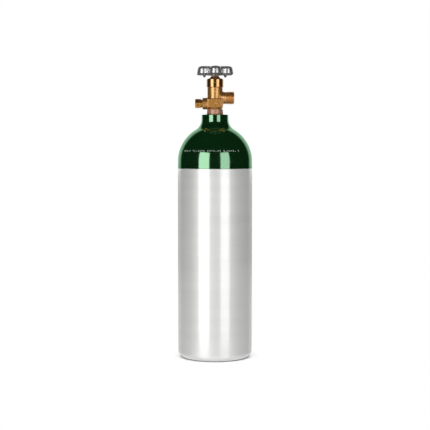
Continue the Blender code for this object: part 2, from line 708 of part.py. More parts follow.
def bonnet_gasket(look):
    outer = BONNET_THREAD_RADIUS - 0.2 * MM
    inner = max(PLUG_BORE_RADIUS, BONNET_POCKET_RADIUS)
    return ring("bonnet_gasket", outer, inner, BONNET_GASKET_BOTTOM, BONNET_GASKET_THICKNESS, look, valve_frame)


def packing_ring(name, bottom, look):
    """A chevron ring: its underside is hollow and its top is raised, so that the rings nest."""
    middle = (PACKING_RADIUS + RING_INNER_RADIUS) / 2
    top = bottom + PACKING_HEIGHT
    outline = [
        (RING_INNER_RADIUS, top - PACKING_RISE),
        (middle, top),
        (PACKING_RADIUS, top - PACKING_RISE),
        (PACKING_RADIUS, bottom),
        (middle, bottom + PACKING_RISE),
        (RING_INNER_RADIUS, bottom),
    ]
    return turned(name, outline, look, valve_frame, SMALL_STEPS)


def gland_follower(look):
    return ring(
        "gland_follower", PACKING_RADIUS, RING_INNER_RADIUS, FOLLOWER_BOTTOM, FOLLOWER_HEIGHT, look, valve_frame
    )


# --- stem, plug and seat ----------------------------------------------------------------------------
def upper_stem(look):
    """Tang, thrust flange, round stem, square for the wheel and threaded tip."""
    square_bottom = HUB_BOTTOM - GAP
    square_top = RECESS_FLOOR - GAP
    stem = turned(
        "upper_stem",
        [
            (0, STEM_TOP),
            (STEM_TIP_RADIUS - 0.4 * MM, STEM_TOP),
            (STEM_TIP_RADIUS, STEM_TOP - 0.4 * MM),
            (STEM_TIP_RADIUS, square_bottom),
            (STEM_RADIUS, square_bottom),
            (STEM_RADIUS, FLANGE_TOP),
            (FLANGE_RADIUS, FLANGE_TOP),
            (FLANGE_RADIUS, FLANGE_BOTTOM),
            (0, FLANGE_BOTTOM),
        ],
        look,
        spindle_frame,
        SMALL_STEPS,
    )
    square_start = square_bottom - 0.5 * MM
    square = box(
        "stem square",
        (STEM_SQUARE, STEM_SQUARE, square_top - square_start),
        (0, 0, (square_top + square_start) / 2),
        parent=spindle_frame,
    )
    tang_top = FLANGE_BOTTOM + 0.5 * MM
    tang = box(
        "stem tang",
        (TANG_WIDTH, TANG_THICKNESS, tang_top - TANG_BOTTOM),
        (0, 0, (tang_top + TANG_BOTTOM) / 2),
        parent=spindle_frame,
    )
    join(stem, square, tang)
    return stem


def stem_thrust_washer(look):
    return ring(
        "stem_thrust_washer",
        FLANGE_RADIUS,
        RING_INNER_RADIUS,
        THRUST_WASHER_BOTTOM,
        THRUST_WASHER_THICKNESS,
        look,
        valve_frame,
    )


def lower_plug(look):
    """Turned by the stem's tang in its slot, it screws up and down on its own thread."""
    recess_top = INSERT_BOTTOM + INSERT_HEIGHT + GAP
    plug = turned(
        "lower_plug",
        [
            (0, PLUG_TOP),
            (PLUG_RADIUS - 0.5 * MM, PLUG_TOP),
            (PLUG_RADIUS, PLUG_TOP - 0.5 * MM),
            (PLUG_RADIUS, PLUG_BOTTOM + 0.5 * MM),
            (PLUG_RADIUS - 0.5 * MM, PLUG_BOTTOM),
            (INSERT_RADIUS + GAP, PLUG_BOTTOM),
            (INSERT_RADIUS + GAP, recess_top),
            (0, recess_top),
        ],
        look,
        plug_frame,
        SMALL_STEPS,
    )
    slot_height = PLUG_SLOT_DEPTH + OVERSHOOT
    slot = box(
        "plug slot",
        (2 * PLUG_RADIUS + 2 * OVERSHOOT, TANG_THICKNESS + 2 * RUNNING, slot_height),
        (0, 0, PLUG_TOP - PLUG_SLOT_DEPTH + slot_height / 2),
        parent=plug_frame,
    )
    cut(plug, slot)
    return plug


def seat_insert(look):
    top = INSERT_BOTTOM + INSERT_HEIGHT
    outline = [(0, top), (INSERT_RADIUS, top), (INSERT_RADIUS, INSERT_BOTTOM), (0, INSERT_BOTTOM)]
    return turned("seat_insert", outline, look, plug_frame, SMALL_STEPS)


# --- handwheel --------------------------------------------------------------------------------------
def wheel_outline(inset):
    """The six lobes with filleted valleys between them, drawn inset inside the true outline."""
    half = math.pi / LOBES
    lobe, fillet = LOBE_RADIUS - inset, VALLEY_FILLET + inset
    reach = LOBE_RADIUS + VALLEY_FILLET
    valley = LOBE_CENTRE * math.cos(half) + math.sqrt(reach**2 - (LOBE_CENTRE * math.sin(half)) ** 2)
    side = math.atan2(valley * math.sin(half), valley * math.cos(half) - LOBE_CENTRE)
    points = []
    for i in range(LOBES):
        turn = 2 * half * i
        for step in range(LOBE_STEPS + 1):
            angle = -side + 2 * side * step / LOBE_STEPS
            across = LOBE_CENTRE + lobe * math.cos(angle), lobe * math.sin(angle)
            points.append(turn_point(across, turn))
        hollow = side - half
        for step in range(1, ARC_STEPS):
            angle = math.pi - hollow + 2 * hollow * step / ARC_STEPS
            across = valley + fillet * math.cos(-angle), fillet * math.sin(-angle)
            points.append(turn_point(across, turn + half))
    return points


def turn_point(point, angle):
    x, y = point
    return x * math.cos(angle) - y * math.sin(angle), x * math.sin(angle) + y * math.cos(angle)


def wheel_rim():
    """The lobed ring as a filled flat outline with rounded edges, made a mesh so that it can be joined."""
    curve = bpy.data.curves.new("wheel rim", "CURVE")
    curve.dimensions = "2D"
    curve.fill_mode = "BOTH"
    curve.extrude = RIM_HEIGHT / 2 - RIM_ROUND
    curve.bevel_depth = RIM_ROUND
    curve.bevel_resolution = 1
    hole_steps = 36
    hole_radius = RIM_HOLE_RADIUS + RIM_ROUND
    hole = [turn_point((hole_radius, 0), math.tau * i / hole_steps) for i in range(hole_steps)]
    for points in (wheel_outline(RIM_ROUND), hole):
        spline = curve.splines.new("POLY")
        spline.use_cyclic_u = True
        spline.points.add(len(points) - 1)
        for target, (x, y) in zip(spline.points, points, strict=True):
            target.co = (x, y, 0, 1)
    guide = bpy.data.objects.new("wheel rim", curve)
    helpers.objects.link(guide)
    bpy.context.view_layer.update()
    mesh = bpy.data.meshes.new_from_object(guide.evaluated_get(bpy.context.evaluated_depsgraph_get()))
    bpy.data.objects.remove(guide)
    shape = bmesh.new()
    shape.from_mesh(mesh)
    bmesh.ops.remove_doubles(shape, verts=shape.verts, dist=MERGE)
    bmesh.ops.recalc_face_normals(shape, faces=shape.faces)
    bmesh.ops.translate(shape, vec=(0, 0, RIM_BOTTOM + RIM_HEIGHT / 2), verts=shape.verts)
    shape.to_mesh(mesh)
    shape.free()
    mesh.materials.clear()
    return mesh


def handwheel(look):
    """Hub, six spokes and the lobed rim, with a small lug under each lobe."""
    wheel = place(wheel_rim(), "handwheel", look, wheel_frame, False)
    hub = turned(
        "wheel hub",
        [
            (0, HUB_TOP),
            (HUB_RADIUS - 0.8 * MM, HUB_TOP),
            (HUB_RADIUS, HUB_TOP - 0.8 * MM),
            (HUB_RADIUS, HUB_BOTTOM + 0.8 * MM),
            (HUB_RADIUS - 0.8 * MM, HUB_BOTTOM),
            (0, HUB_BOTTOM),
        ],
        parent=wheel_frame,
        helper=True,
    )
    spoke_middle = RIM_BOTTOM + SPOKE_LIFT + SPOKE_HEIGHT / 2
    spoke_end = RIM_HOLE_RADIUS + RIM_ROUND
    for i in range(LOBES // 2):
        size = (2 * spoke_end, SPOKE_WIDTH, SPOKE_HEIGHT)
        turn = i * math.tau / LOBES
        join(hub, box(f"spoke {i}", size, (0, 0, spoke_middle), parent=wheel_frame, turn=turn))
    join(wheel, hub)
    for i in range(LOBES):
        x, y = turn_point((LUG_AT, 0), i * math.tau / LOBES)
        at = frame(f"lug frame {i}", wheel_frame, (x, y, RIM_BOTTOM))
        lug = turned(
            f"lug {i}",
            [(0, SPOKE_LIFT + 1.0 * MM), (LUG_RADIUS, SPOKE_LIFT + 1.0 * MM), (LUG_RADIUS, 0)]
            + [(LUG_RADIUS - LUG_DRAFT, -LUG_DROP), (0, -LUG_DROP)],
            parent=at,
            steps=8,
            helper=True,
        )
        join(wheel, lug)
    recess = rod("hub recess", HUB_RECESS_RADIUS, RECESS_FLOOR, HUB_TOP + OVERSHOOT, parent=wheel_frame)
    hole_side = STEM_SQUARE + 2 * GAP
    hole_height = RECESS_FLOOR - HUB_BOTTOM + 2 * OVERSHOOT
    hole = box(
        "hub square",
        (hole_side, hole_side, hole_height),
        (0, 0, (RECESS_FLOOR + HUB_BOTTOM) / 2),
        parent=wheel_frame,
    )
    cut(wheel, recess, hole)
    return wheel


def wheel_fastening(steel, nylon):
    """What holds the wheel on its square: hub washer, spring washer, flat washer and nut."""
    ring(
        "hub_washer",
        SQUARE_CLEAR_RADIUS + HUB_WASHER_WIDTH,
        SQUARE_CLEAR_RADIUS,
        HUB_WASHER_BOTTOM,
        HUB_WASHER_THICKNESS,
        nylon,
        wheel_frame,
    )
    turned(
        "wheel_spring_washer",
        [
            (SPRING_INNER_RADIUS, SPRING_BOTTOM + SPRING_RISE + SPRING_THICKNESS),
            (SPRING_OUTER_RADIUS, SPRING_BOTTOM + SPRING_THICKNESS),
            (SPRING_OUTER_RADIUS, SPRING_BOTTOM),
            (SPRING_INNER_RADIUS, SPRING_BOTTOM + SPRING_RISE),
        ],
        steel,
        wheel_frame,
        SMALL_STEPS,
    )
    tip = STEM_TIP_RADIUS + GAP
    ring(
        "wheel_washer",
        tip + WHEEL_WASHER_WIDTH,
        tip,
        WHEEL_WASHER_BOTTOM,
        WHEEL_WASHER_THICKNESS,
        steel,
        wheel_frame,
    )
    nut = hexagon(
        "wheel_nut", WHEEL_NUT_HEX, WHEEL_NUT_BOTTOM, WHEEL_NUT_TOP, steel, wheel_frame, helper=False
    )
    bore = rod("nut bore", tip, WHEEL_NUT_BOTTOM - OVERSHOOT, WHEEL_NUT_TOP + OVERSHOOT, parent=wheel_frame)
    cut(nut, bore)


# --- assembly ---------------------------------------------------------------------------------------
clear_scene()
parts = new_collection("oxygen_cylinder")
helpers = new_collection("cutters")

brushed_aluminium = material("brushed_aluminium", (0.78, 0.79, 0.79), 1.0, 0.34)
green_lacquer = material("green_lacquer", (0.005, 0.115, 0.032), 0.0, 0.12)
forged_brass = material("forged_brass", (0.72, 0.45, 0.20), 1.0, 0.34)
turned_brass = material("turned_brass", (0.86, 0.58, 0.28), 1.0, 0.2)
polished_metal = material("polished_metal", (0.80, 0.80, 0.81), 1.0, 0.14)
steel = material("steel", (0.62, 0.62, 0.63), 1.0, 0.3)
nylon = material("nylon", (0.86, 0.84, 0.78), 0.0, 0.45)
black_rubber = material("black_rubber", (0.02, 0.02, 0.02), 0.0, 0.6)
copper = material("copper", (0.80, 0.42, 0.28), 1.0, 0.3)

valve_frame = frame("valve_frame", location=(0, 0, NECK_SEAT))
outlet_frame = frame("outlet_frame", valve_frame, (0, 0, OUTLET_HEIGHT), (0, math.pi / 2, 0))
safety_frame = frame("safety_frame", valve_frame, (0, 0, SAFETY_HEIGHT), (0, -math.pi / 2, 0))
spindle_frame = frame("spindle_frame", valve_frame)
plug_frame = frame("plug_frame", spindle_frame)
# A lobe faces the front, at -Y, turned by WHEEL_TURN from there.
wheel_frame = frame("wheel_frame", spindle_frame, rotation=(0, 0, -math.pi / 2 + WHEEL_TURN))

cylinder_shell(brushed_aluminium)
shoulder_lacquer(green_lacquer)
neck_o_ring(black_rubber)
valve_body(forged_brass)
debris_tube(turned_brass)
safety_plug(turned_brass)
burst_disc(copper)
burst_disc_gasket(nylon)
bonnet(turned_brass)
bonnet_gasket(nylon)
gland_follower(turned_brass)
packing_ring("packing_ring_lower", LOWER_PACKING_BOTTOM, nylon)
packing_ring("packing_ring_upper", UPPER_PACKING_BOTTOM, nylon)
stem_thrust_washer(nylon)
upper_stem(turned_brass)
lower_plug(turned_brass)
seat_insert(nylon)
handwheel(polished_metal)
wheel_fastening(steel, nylon)

for thing in parts.objects:
    if thing.type == "MESH":
        thing.modifiers.new("shading", "WEIGHTED_NORMAL").weight = 90
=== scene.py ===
"""Looks for the oxygen cylinder: fine visible surfaces, materials, a white studio and the camera.

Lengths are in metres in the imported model's frame. The origin is on the floor at the axis, +Z is up and the
outlet points towards +X.
"""

import json
import math

import bmesh
import bpy
import numpy as np
from mathutils import Matrix, Vector

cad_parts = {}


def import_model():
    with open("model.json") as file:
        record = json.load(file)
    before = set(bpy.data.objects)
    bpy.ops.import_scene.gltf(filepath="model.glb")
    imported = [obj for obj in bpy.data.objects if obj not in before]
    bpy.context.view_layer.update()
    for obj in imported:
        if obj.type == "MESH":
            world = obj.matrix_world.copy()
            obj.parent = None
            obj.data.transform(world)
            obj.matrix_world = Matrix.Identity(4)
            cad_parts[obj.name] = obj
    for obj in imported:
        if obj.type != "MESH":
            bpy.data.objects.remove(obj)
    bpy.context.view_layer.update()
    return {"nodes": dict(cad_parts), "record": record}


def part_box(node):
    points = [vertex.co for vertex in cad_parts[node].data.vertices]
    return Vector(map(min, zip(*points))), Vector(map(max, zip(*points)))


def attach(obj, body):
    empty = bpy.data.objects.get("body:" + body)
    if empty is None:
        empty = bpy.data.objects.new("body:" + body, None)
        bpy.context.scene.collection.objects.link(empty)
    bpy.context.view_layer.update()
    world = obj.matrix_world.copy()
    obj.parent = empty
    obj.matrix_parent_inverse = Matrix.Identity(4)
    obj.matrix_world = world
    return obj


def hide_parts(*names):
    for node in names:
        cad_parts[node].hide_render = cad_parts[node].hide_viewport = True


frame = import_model()

MM = 0.001
TINY = 1e-7

# --- cylinder ---------------------------------------------------------------------------------------
CYLINDER_RADIUS = 66.7 * MM
SHELL_HEIGHT = 437.2 * MM
LACQUER_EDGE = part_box("shoulder_lacquer")[0].z
SHOULDER_RISE = 65.6 * MM
NECK_STAND = 17.5 * MM
NECK_RADIUS = 24.0 * MM
NECK_FILLET = 22.0 * MM
NECK_EDGE = 1.2 * MM
LACQUER = 0.4 * MM
LACQUER_HOLE = 16.3 * MM
LACQUER_LIP = 0.06 * MM  # the lacquer's edge stands this far above the bare wall
BASE_CORNER = 12.0 * MM
DISH_RADIUS = 48.7 * MM
DISH_DEPTH = 4.0 * MM
STROKE_COUNT = 31
STROKE_STEP = 3.2  # degrees
STROKE_START = -146  # degrees, the front is at -90
STROKE_HEIGHT = 372.5 * MM
STROKE_WIDTH = 1.0 * MM
STROKE_DEPTH = 0.24 * MM
STROKE_LENGTHS = (3.2, 2.0, 3.2, 1.2, 2.6)  # mm, in turn
STROKE_LIFTS = (0.0, 0.5, 0.0, -0.8, 0.2)  # mm, in turn
DOME_BASE = SHELL_HEIGHT - NECK_STAND - SHOULDER_RISE

# --- valve, with heights counted from the collar's underside ----------------------------------------
NECK_SEAT = SHELL_HEIGHT - 0.4 * MM
COLLAR_RADIUS = 14.8 * MM
COLLAR_TOP_RADIUS = 14.0 * MM
COLLAR_HEIGHT = 10.0 * MM
INLET_RADIUS = 9.2 * MM
INLET_SHOWN = 20.0 * MM  # of the inlet's thread below the collar
UNDERCUT_RADIUS = 12.4 * MM
BLOCK_BOTTOM = 13.3 * MM
BLOCK_TOP = 28.8 * MM
BLOCK_WIDTH = 28.5 * MM
BLOCK_CORNER = 19.3 * MM
BARREL_RADIUS = 13.85 * MM
BARREL_TOP = 49.2 * MM
OUTLET_HEIGHT = 30.3 * MM
OUTLET_REACH = 34.4 * MM
OUTLET_NECK_RADIUS = 10.9 * MM
THREAD_START = 18.6 * MM
THREAD_RADIUS = 11.47 * MM
THREAD_DEPTH = 1.0 * MM
THREAD_PITCH = 25.4 * MM / 14
THREAD_CHAMFER = 1.3 * MM
MOUTH_RADIUS = 7.6 * MM
MOUTH_DEPTH = 6.5 * MM
CONE_DEPTH = 6.0 * MM
PASSAGE_RADIUS = 2.6 * MM
SAFETY_HEIGHT = 20.3 * MM
SAFETY_REACH = 22.7 * MM
SAFETY_BOSS_RADIUS = 10.6 * MM
SAFETY_WAIST_RADIUS = 7.4 * MM
SAFETY_WAIST_LENGTH = 2.5 * MM
SAFETY_HEAD_LENGTH = 10.5 * MM
SAFETY_THREAD_RADIUS = 5.9 * MM
SAFETY_THREAD_LENGTH = 5.0 * MM
SAFETY_WEAR = 0.6 * MM  # off the flats towards the head's ends
SAFETY_HEX = 15.9 * MM
SAFETY_TURN = math.radians(6)
VENT_RADIUS = 1.4 * MM
VENT_REACH = 12.0 * MM  # past the head's corners
MARK_ACROSS = 1.8 * MM  # the forging mark's place on the block's front
MARK_HEIGHT = 19.6 * MM
FORGING_VOXEL = 0.4 * MM
BONNET_BORE = 10.1 * MM
BONNET_LEDGE = 36.1 * MM
PLUG_BORE = 7.15 * MM
CHAMBER_TOP = 31.7 * MM
CHAMBER_RADIUS = 8.15 * MM
CHAMBER_FLOOR = 24.7 * MM
SEAT_RIM_RADIUS = 4.0 * MM
SEAT_TOP = 25.5 * MM
ORIFICE_RADIUS = 2.2 * MM
ORIFICE_FLOOR = 22.7 * MM

# --- bonnet and handwheel ---------------------------------------------------------------------------
BONNET_SEAT = 49.5 * MM
BONNET_TOP = 64.8 * MM
BONNET_FLAT = 14.7 * MM  # from the axis to a flat's middle
BONNET_CROWN = 20.0 * MM  # radius that each flat is polished to
BONNET_RADIUS = 15.35 * MM
BONNET_TURN = math.radians(30)
BONNET_CHAMFER_RADIUS = 13.0 * MM
BONNET_THREAD_RADIUS = 9.8 * MM
CONE_FOOT_RADIUS = 10.1 * MM
CONE_TOP_RADIUS = 6.2 * MM
CONE_HEIGHT = 4.7 * MM
STEM_HOLE_RADIUS = 4.2 * MM
LOBES = 6
LOBE_RADIUS = 11.3 * MM
LOBE_CENTRE = 24.2 * MM
VALLEY_FILLET = 3.6 * MM
WHEEL_TURN = math.radians(2)
RIM_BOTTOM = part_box("handwheel")[1].z - 14.8 * MM
RIM_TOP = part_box("handwheel")[1].z
RIM_DRAFT = 1.0 * MM  # the sides lean in by this much at the top
RIM_TOP_ROUND = 6.0 * MM
RIM_FOOT_ROUND = 2.6 * MM
RIM_HOLE_RADIUS = 18.6 * MM
HUB_BOTTOM = RIM_BOTTOM - 0.7 * MM
HUB_TOP = HUB_BOTTOM + 11.2 * MM
HUB_RADIUS = 8.5 * MM
HUB_RECESS_RADIUS = 7.0 * MM
HUB_HOLE_RADIUS = 4.3 * MM
HUB_RECESS_FLOOR = HUB_TOP - 4.2 * MM
SPOKE_MIDDLE = RIM_BOTTOM + 5.9 * MM
SPOKE_START = 7.4 * MM
SPOKE_LENGTH = 14.6 * MM
SPOKE_HALF_WIDTH = 3.9 * MM
SPOKE_HALF_HEIGHT = 2.7 * MM
SPOKE_WAIST = 0.35  # share of its width that it loses halfway
LUG_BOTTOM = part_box("handwheel")[0].z
LUG_AT = 21.8 * MM
PAINTED_SHADE_TOP = RIM_BOTTOM + 3.5 * MM  # faces that look down below this get the dark colour as painted shade
# faces that look down more steeply than this get the painted shade
PAINTED_SHADE_SLOPE = -0.25
NUT_FLAT = 4.0 * MM  # from the axis to a flat's middle
NUT_CORNER = 4.65 * MM
NUT_BORE = 2.7 * MM


# --- shapes -----------------------------------------------------------------------------------------
def arc(centre, radius, start, end, steps=12):
    """Points on an arc, from one angle in degrees to another."""
    angles = [math.radians(start + (end - start) * i / steps) for i in range(steps + 1)]
    return [(centre[0] + radius * math.cos(a), centre[1] + radius * math.sin(a)) for a in angles]


def softened(points, radius=0.3 * MM, closed=False, steps=3):
    """The outline with its corners rounded over radius, or over less where a side is short."""
    made = []
    count = len(points)
    for i, point in enumerate(points):
        if not closed and i in (0, count - 1):
            made.append(point)
            continue
        here = Vector(point)
        sides = [Vector(points[i - 1]) - here, Vector(points[(i + 1) % count]) - here]
        starts = [here + side.normalized() * min(radius, 0.45 * side.length) for side in sides]
        for step in range(steps + 1):
            t = step / steps
            made.append(tuple((1 - t) ** 2 * starts[0] + 2 * t * (1 - t) * here + t**2 * starts[1]))
    return made


def skin(name, loops, ring=False):
    """A mesh through loops of points.

    A loop of one point closes an end, and any other end stays open. With ring, the last loop joins the first.
    """
    shape = bmesh.new()
    rows = [[shape.verts.new(point) for point in loop] for loop in loops]
    pairs = list(zip(rows, rows[1:]))
    if ring:
        pairs.append((rows[-1], rows[0]))
    for above, below in pairs:
        count = max(len(above), len(below))
        for i in range(count):
            corners = [above[i % len(above)], below[i % len(below)]]
            corners += [below[(i + 1) % len(below)], above[(i + 1) % len(above)]]
            shape.faces.new(list(dict.fromkeys(corners)))
    bmesh.ops.recalc_face_normals(shape, faces=shape.faces)
    mesh = bpy.data.meshes.new(name)
    shape.to_mesh(mesh)
    shape.free()
    return mesh


def circle(radius, height, steps):
    if radius < TINY:
        return [(0, 0, height)]
    angles = [math.tau * i / steps for i in range(steps)]
    return [(radius * math.cos(a), radius * math.sin(a), height) for a in angles]


def turned(name, outline, steps=128):
    """A turned solid from (radius, height) points, from axis to axis or all the way round."""
    loops = [circle(radius, height, steps) for radius, height in outline]
    return skin(name, loops, ring=outline[0][0] > TINY)


def milled(name, outline, flat, turn, sides=6, crown=None, steps=192):
    """A turned solid that flats are cut into. flat(height) is a flat's distance from the axis.

    With a crown, each flat bulges to that radius. An outline that doesn't start and end on the axis gives an
    open shell, as the bonnet's does.
    """
    loops = []
    for radius, height in outline:
        if radius < TINY:
            loops.append([(0, 0, height)])
            continue
        loop = []
        for i in range(steps):
            angle = math.tau * i / steps
            away = (angle + math.pi / sides) % (math.tau / sides) - math.pi / sides
            reach = flat(height) / math.cos(away)
            if crown:
                back = flat(height) - crown
                reach = back * math.cos(away) + math.sqrt(crown**2 - (back * math.sin(away)) ** 2)
            reach = min(radius, reach)
            loop.append((reach * math.cos(angle + turn), reach * math.sin(angle + turn), height))
        loops.append(loop)
    return skin(name, loops)


def evaluated(name, thing):
    """The mesh of an object with its modifiers applied. The object is removed."""
    bpy.context.view_layer.update()
    result = bpy.data.meshes.new_from_object(thing.evaluated_get(bpy.context.evaluated_depsgraph_get()))
    result.name = name
    bpy.data.objects.remove(thing)
    return result


def helper(mesh):
    thing = bpy.data.objects.new(mesh.name, mesh)
    bpy.context.scene.collection.objects.link(thing)
    return thing


def combined(name, mesh, others, operation):
    """The mesh united with the others, or cut by them."""
    base = helper(mesh)
    tools = [helper(other) for other in others]
    for tool in tools:
        change = base.modifiers.new(tool.name, "BOOLEAN")
        change.operation = operation
        change.object = tool
    result = evaluated(name, base)
    for tool in tools:
        bpy.data.objects.remove(tool)
    return result


def moved(mesh, matrix):
    mesh.transform(matrix)
    return mesh


def piece(name, mesh, look, body="cylinder", replaces=(), sharp=35):
    """A visible piece that rides on a body."""
    mesh.materials.clear()
    mesh.materials.append(look)
    mesh.shade_smooth()
    mesh.set_sharp_from_angle(angle=math.radians(sharp))
    thing = bpy.data.objects.new(name, mesh)
    bpy.context.scene.collection.objects.link(thing)
    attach(thing, body)
    if replaces:
        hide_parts(*replaces)
    return thing


# --- materials --------------------------------------------------------------------------------------
def new_material(name):
    made = bpy.data.materials.new(name)
    made.use_nodes = True
    return made, made.node_tree.nodes, made.node_tree.links


def noise(nodes, links, scale, detail=4.0, stretch=(1, 1, 1)):
    """A noise value in object space. scale is in cells per metre."""
    coordinates = nodes.new("ShaderNodeTexCoord")
    mapping = nodes.new("ShaderNodeMapping")
    mapping.inputs["Scale"].default_value = stretch
    texture = nodes.new("ShaderNodeTexNoise")
    texture.inputs["Scale"].default_value = scale
    texture.inputs["Detail"].default_value = detail
    links.new(coordinates.outputs["Object"], mapping.inputs["Vector"])
    links.new(mapping.outputs["Vector"], texture.inputs["Vector"])
    return texture.outputs["Fac"]


def spread(nodes, links, value, low, high, start=0.3, end=0.7):
    """value mapped from start..end to low..high."""
    remap = nodes.new("ShaderNodeMapRange")
    for socket, number in zip(("From Min", "From Max", "To Min", "To Max"), (start, end, low, high)):
        remap.inputs[socket].default_value = number
    links.new(value, remap.inputs["Value"])
    return remap.outputs["Result"]


def tinted(nodes, links, amount, first, second):
    """A colour between two, by amount."""
    mix = nodes.new("ShaderNodeMix")
    mix.data_type = "RGBA"
    mix.inputs["A"].default_value = (*first, 1)
    mix.inputs["B"].default_value = (*second, 1)
    links.new(amount, mix.inputs["Factor"])
    return mix.outputs["Result"]


def add_bumps(nodes, links, shader, bumps):
    """Chains bumps given as (height value, depth in metres)."""
    normal = None
    for value, depth in bumps:
        bump = nodes.new("ShaderNodeBump")
        bump.inputs["Strength"].default_value = 1.0
        bump.inputs["Distance"].default_value = depth
        links.new(value, bump.inputs["Height"])
        if normal:
            links.new(normal, bump.inputs["Normal"])
        normal = bump.outputs["Normal"]
    links.new(normal, shader.inputs["Normal"])


def metal(name, colour, dull, roughness, mottle=90, grain=(), stretch=(1, 1, 1), **fixed):
    """A metal with blotches of a duller colour, uneven roughness and grain given as (scale, depth)."""
    made, nodes, links = new_material(name)
    shader = nodes["Principled BSDF"]
    shader.inputs["Metallic"].default_value = 1.0
    for socket, value in fixed.items():
        shader.inputs[socket.replace("_", " ")].default_value = value
    blotches = noise(nodes, links, mottle, 6.0, stretch)
    amount = spread(nodes, links, blotches, 0.0, 1.0, 0.42, 0.75)
    links.new(tinted(nodes, links, amount, colour, dull), shader.inputs["Base Color"])
    uneven = noise(nodes, links, mottle * 4, 5.0, stretch)
    links.new(spread(nodes, links, uneven, *roughness), shader.inputs["Roughness"])
    bumps = [(noise(nodes, links, scale, 3.0, stretch), depth) for scale, depth in grain]
    if bumps:
        add_bumps(nodes, links, shader, bumps)
    return made


def turning_lines(material, pitch, depth, along="Z"):
    """Adds the fine rings that a lathe leaves, pitch apart along an axis."""
    nodes, links = material.node_tree.nodes, material.node_tree.links
    coordinates = nodes.new("ShaderNodeTexCoord")
    wave = nodes.new("ShaderNodeTexWave")
    wave.bands_direction = along
    wave.inputs["Scale"].default_value = 0.314 / pitch
    wave.inputs["Distortion"].default_value = 0.6
    wave.inputs["Detail"].default_value = 2.0
    links.new(coordinates.outputs["Object"], wave.inputs["Vector"])
    add_bumps(nodes, links, nodes["Principled BSDF"], [(wave.outputs["Fac"], depth)])
    return material


def plain(name, colour, roughness, metallic=0.0, scale=600, depth=0.02 * MM, vary=0.12):
    """A moulded or painted surface: slight colour and gloss variation and a fine texture."""
    made, nodes, links = new_material(name)
    shader = nodes["Principled BSDF"]
    shader.inputs["Metallic"].default_value = metallic
    darker = tuple(c * (1 - vary) for c in colour)
    amount = spread(nodes, links, noise(nodes, links, 60, 5.0), 0.0, 1.0)
    links.new(tinted(nodes, links, amount, colour, darker), shader.inputs["Base Color"])
    uneven = noise(nodes, links, 200, 4.0)
    links.new(spread(nodes, links, uneven, roughness * 0.85, roughness * 1.2), shader.inputs["Roughness"])
    add_bumps(nodes, links, shader, [(noise(nodes, links, scale, 2.0), depth)])
    return made


def green_lacquer():
    """A dark metallic green: its reflections are green too. It has a little orange peel."""
    made = plain("green_lacquer", (0.0012, 0.050, 0.007), 0.09, metallic=0.55, scale=260, depth=0.010 * MM)
    shader = made.node_tree.nodes["Principled BSDF"]
    shader.inputs["IOR"].default_value = 7.6
    shader.inputs["Specular Tint"].default_value = (0.60, 1.0, 0.68, 1)
    return made


aluminium = metal(
    "brushed_aluminium",
    (0.80, 0.80, 0.79),
    (0.75, 0.75, 0.74),
    (0.46, 0.52),
    mottle=30,
    grain=((900, 0.004 * MM), (2600, 0.003 * MM)),
    stretch=(0.15, 0.15, 1.6),
    Metallic=0.65,
    Coat_Weight=1.0,
    Coat_Roughness=0.12,
    Coat_IOR=2.0,
)
lacquer = green_lacquer()
forged_brass = metal(
    "forged_brass",
    (0.72, 0.35, 0.08),
    (0.64, 0.30, 0.06),
    (0.36, 0.44),
    mottle=160,
    grain=((700, 0.025 * MM), (2500, 0.010 * MM)),
    Metallic=0.95,
    Coat_Weight=1.0,
    Coat_Roughness=0.24,
    Coat_IOR=1.7,
)
turned_brass = metal(
    "turned_brass", (0.68, 0.33, 0.08), (0.60, 0.28, 0.06), (0.18, 0.26), mottle=220, Metallic=0.95
)
turning_lines(turned_brass, 0.18 * MM, 0.004 * MM)
collar_brass = metal(
    "collar_brass", (0.66, 0.39, 0.27), (0.54, 0.29, 0.18), (0.48, 0.56), mottle=220, Metallic=0.85
)
turning_lines(collar_brass, 0.3 * MM, 0.004 * MM)
threaded_brass = metal(
    "threaded_brass",
    (0.80, 0.42, 0.12),
    (0.72, 0.36, 0.09),
    (0.34, 0.42),
    mottle=260,
    Metallic=0.95,
    Coat_Weight=1.0,
    Coat_Roughness=0.3,
    Coat_IOR=1.8,
)
turning_lines(threaded_brass, 0.15 * MM, 0.003 * MM, "X")
polished_brass = metal(
    "polished_brass",
    (0.60, 0.27, 0.05),
    (0.52, 0.23, 0.04),
    (0.13, 0.19),
    mottle=140,
    Metallic=0.95,
    Coat_Weight=1.0,
    Coat_IOR=1.9,
)
turning_lines(polished_brass, 0.25 * MM, 0.003 * MM)
wheel_metal = metal(
    "polished_casting",
    (0.60, 0.60, 0.61),
    (0.52, 0.52, 0.53),
    (0.27, 0.34),
    mottle=120,
    grain=((420, 0.004 * MM),),
    Metallic=0.94,
)
# Painted shade: a dark metal for the handwheel's downward faces, hub foot and lugs, where shade falls under
# the rim
underside_painted_shade = metal(
    "underside_painted_shade",
    (0.16, 0.16, 0.165),
    (0.10, 0.10, 0.10),
    (0.5, 0.6),
    mottle=200,
    grain=((900, 0.04 * MM),),
    Metallic=0.9,
)
steel = metal("steel", (0.62, 0.62, 0.64), (0.45, 0.45, 0.46), (0.24, 0.36), mottle=300)
turning_lines(steel, 0.2 * MM, 0.004 * MM)
copper = metal("copper", (0.85, 0.48, 0.33), (0.62, 0.3, 0.18), (0.2, 0.3), mottle=300)
bare_stamp = metal(
    "bare_stamp", (0.42, 0.52, 0.44), (0.16, 0.25, 0.18), (0.4, 0.5), mottle=400, Metallic=0.3
)
nylon = plain("nylon", (0.80, 0.78, 0.70), 0.42)
black_rubber = plain("black_rubber", (0.018, 0.018, 0.018), 0.6)

LOOKS = {
    "brushed_aluminium": aluminium,
    "green_lacquer": lacquer,
    "forged_brass": forged_brass,
    "turned_brass": turned_brass,
    "polished_metal": wheel_metal,
    "steel": steel,
    "nylon": nylon,
    "black_rubber": black_rubber,
    "copper": copper,
}


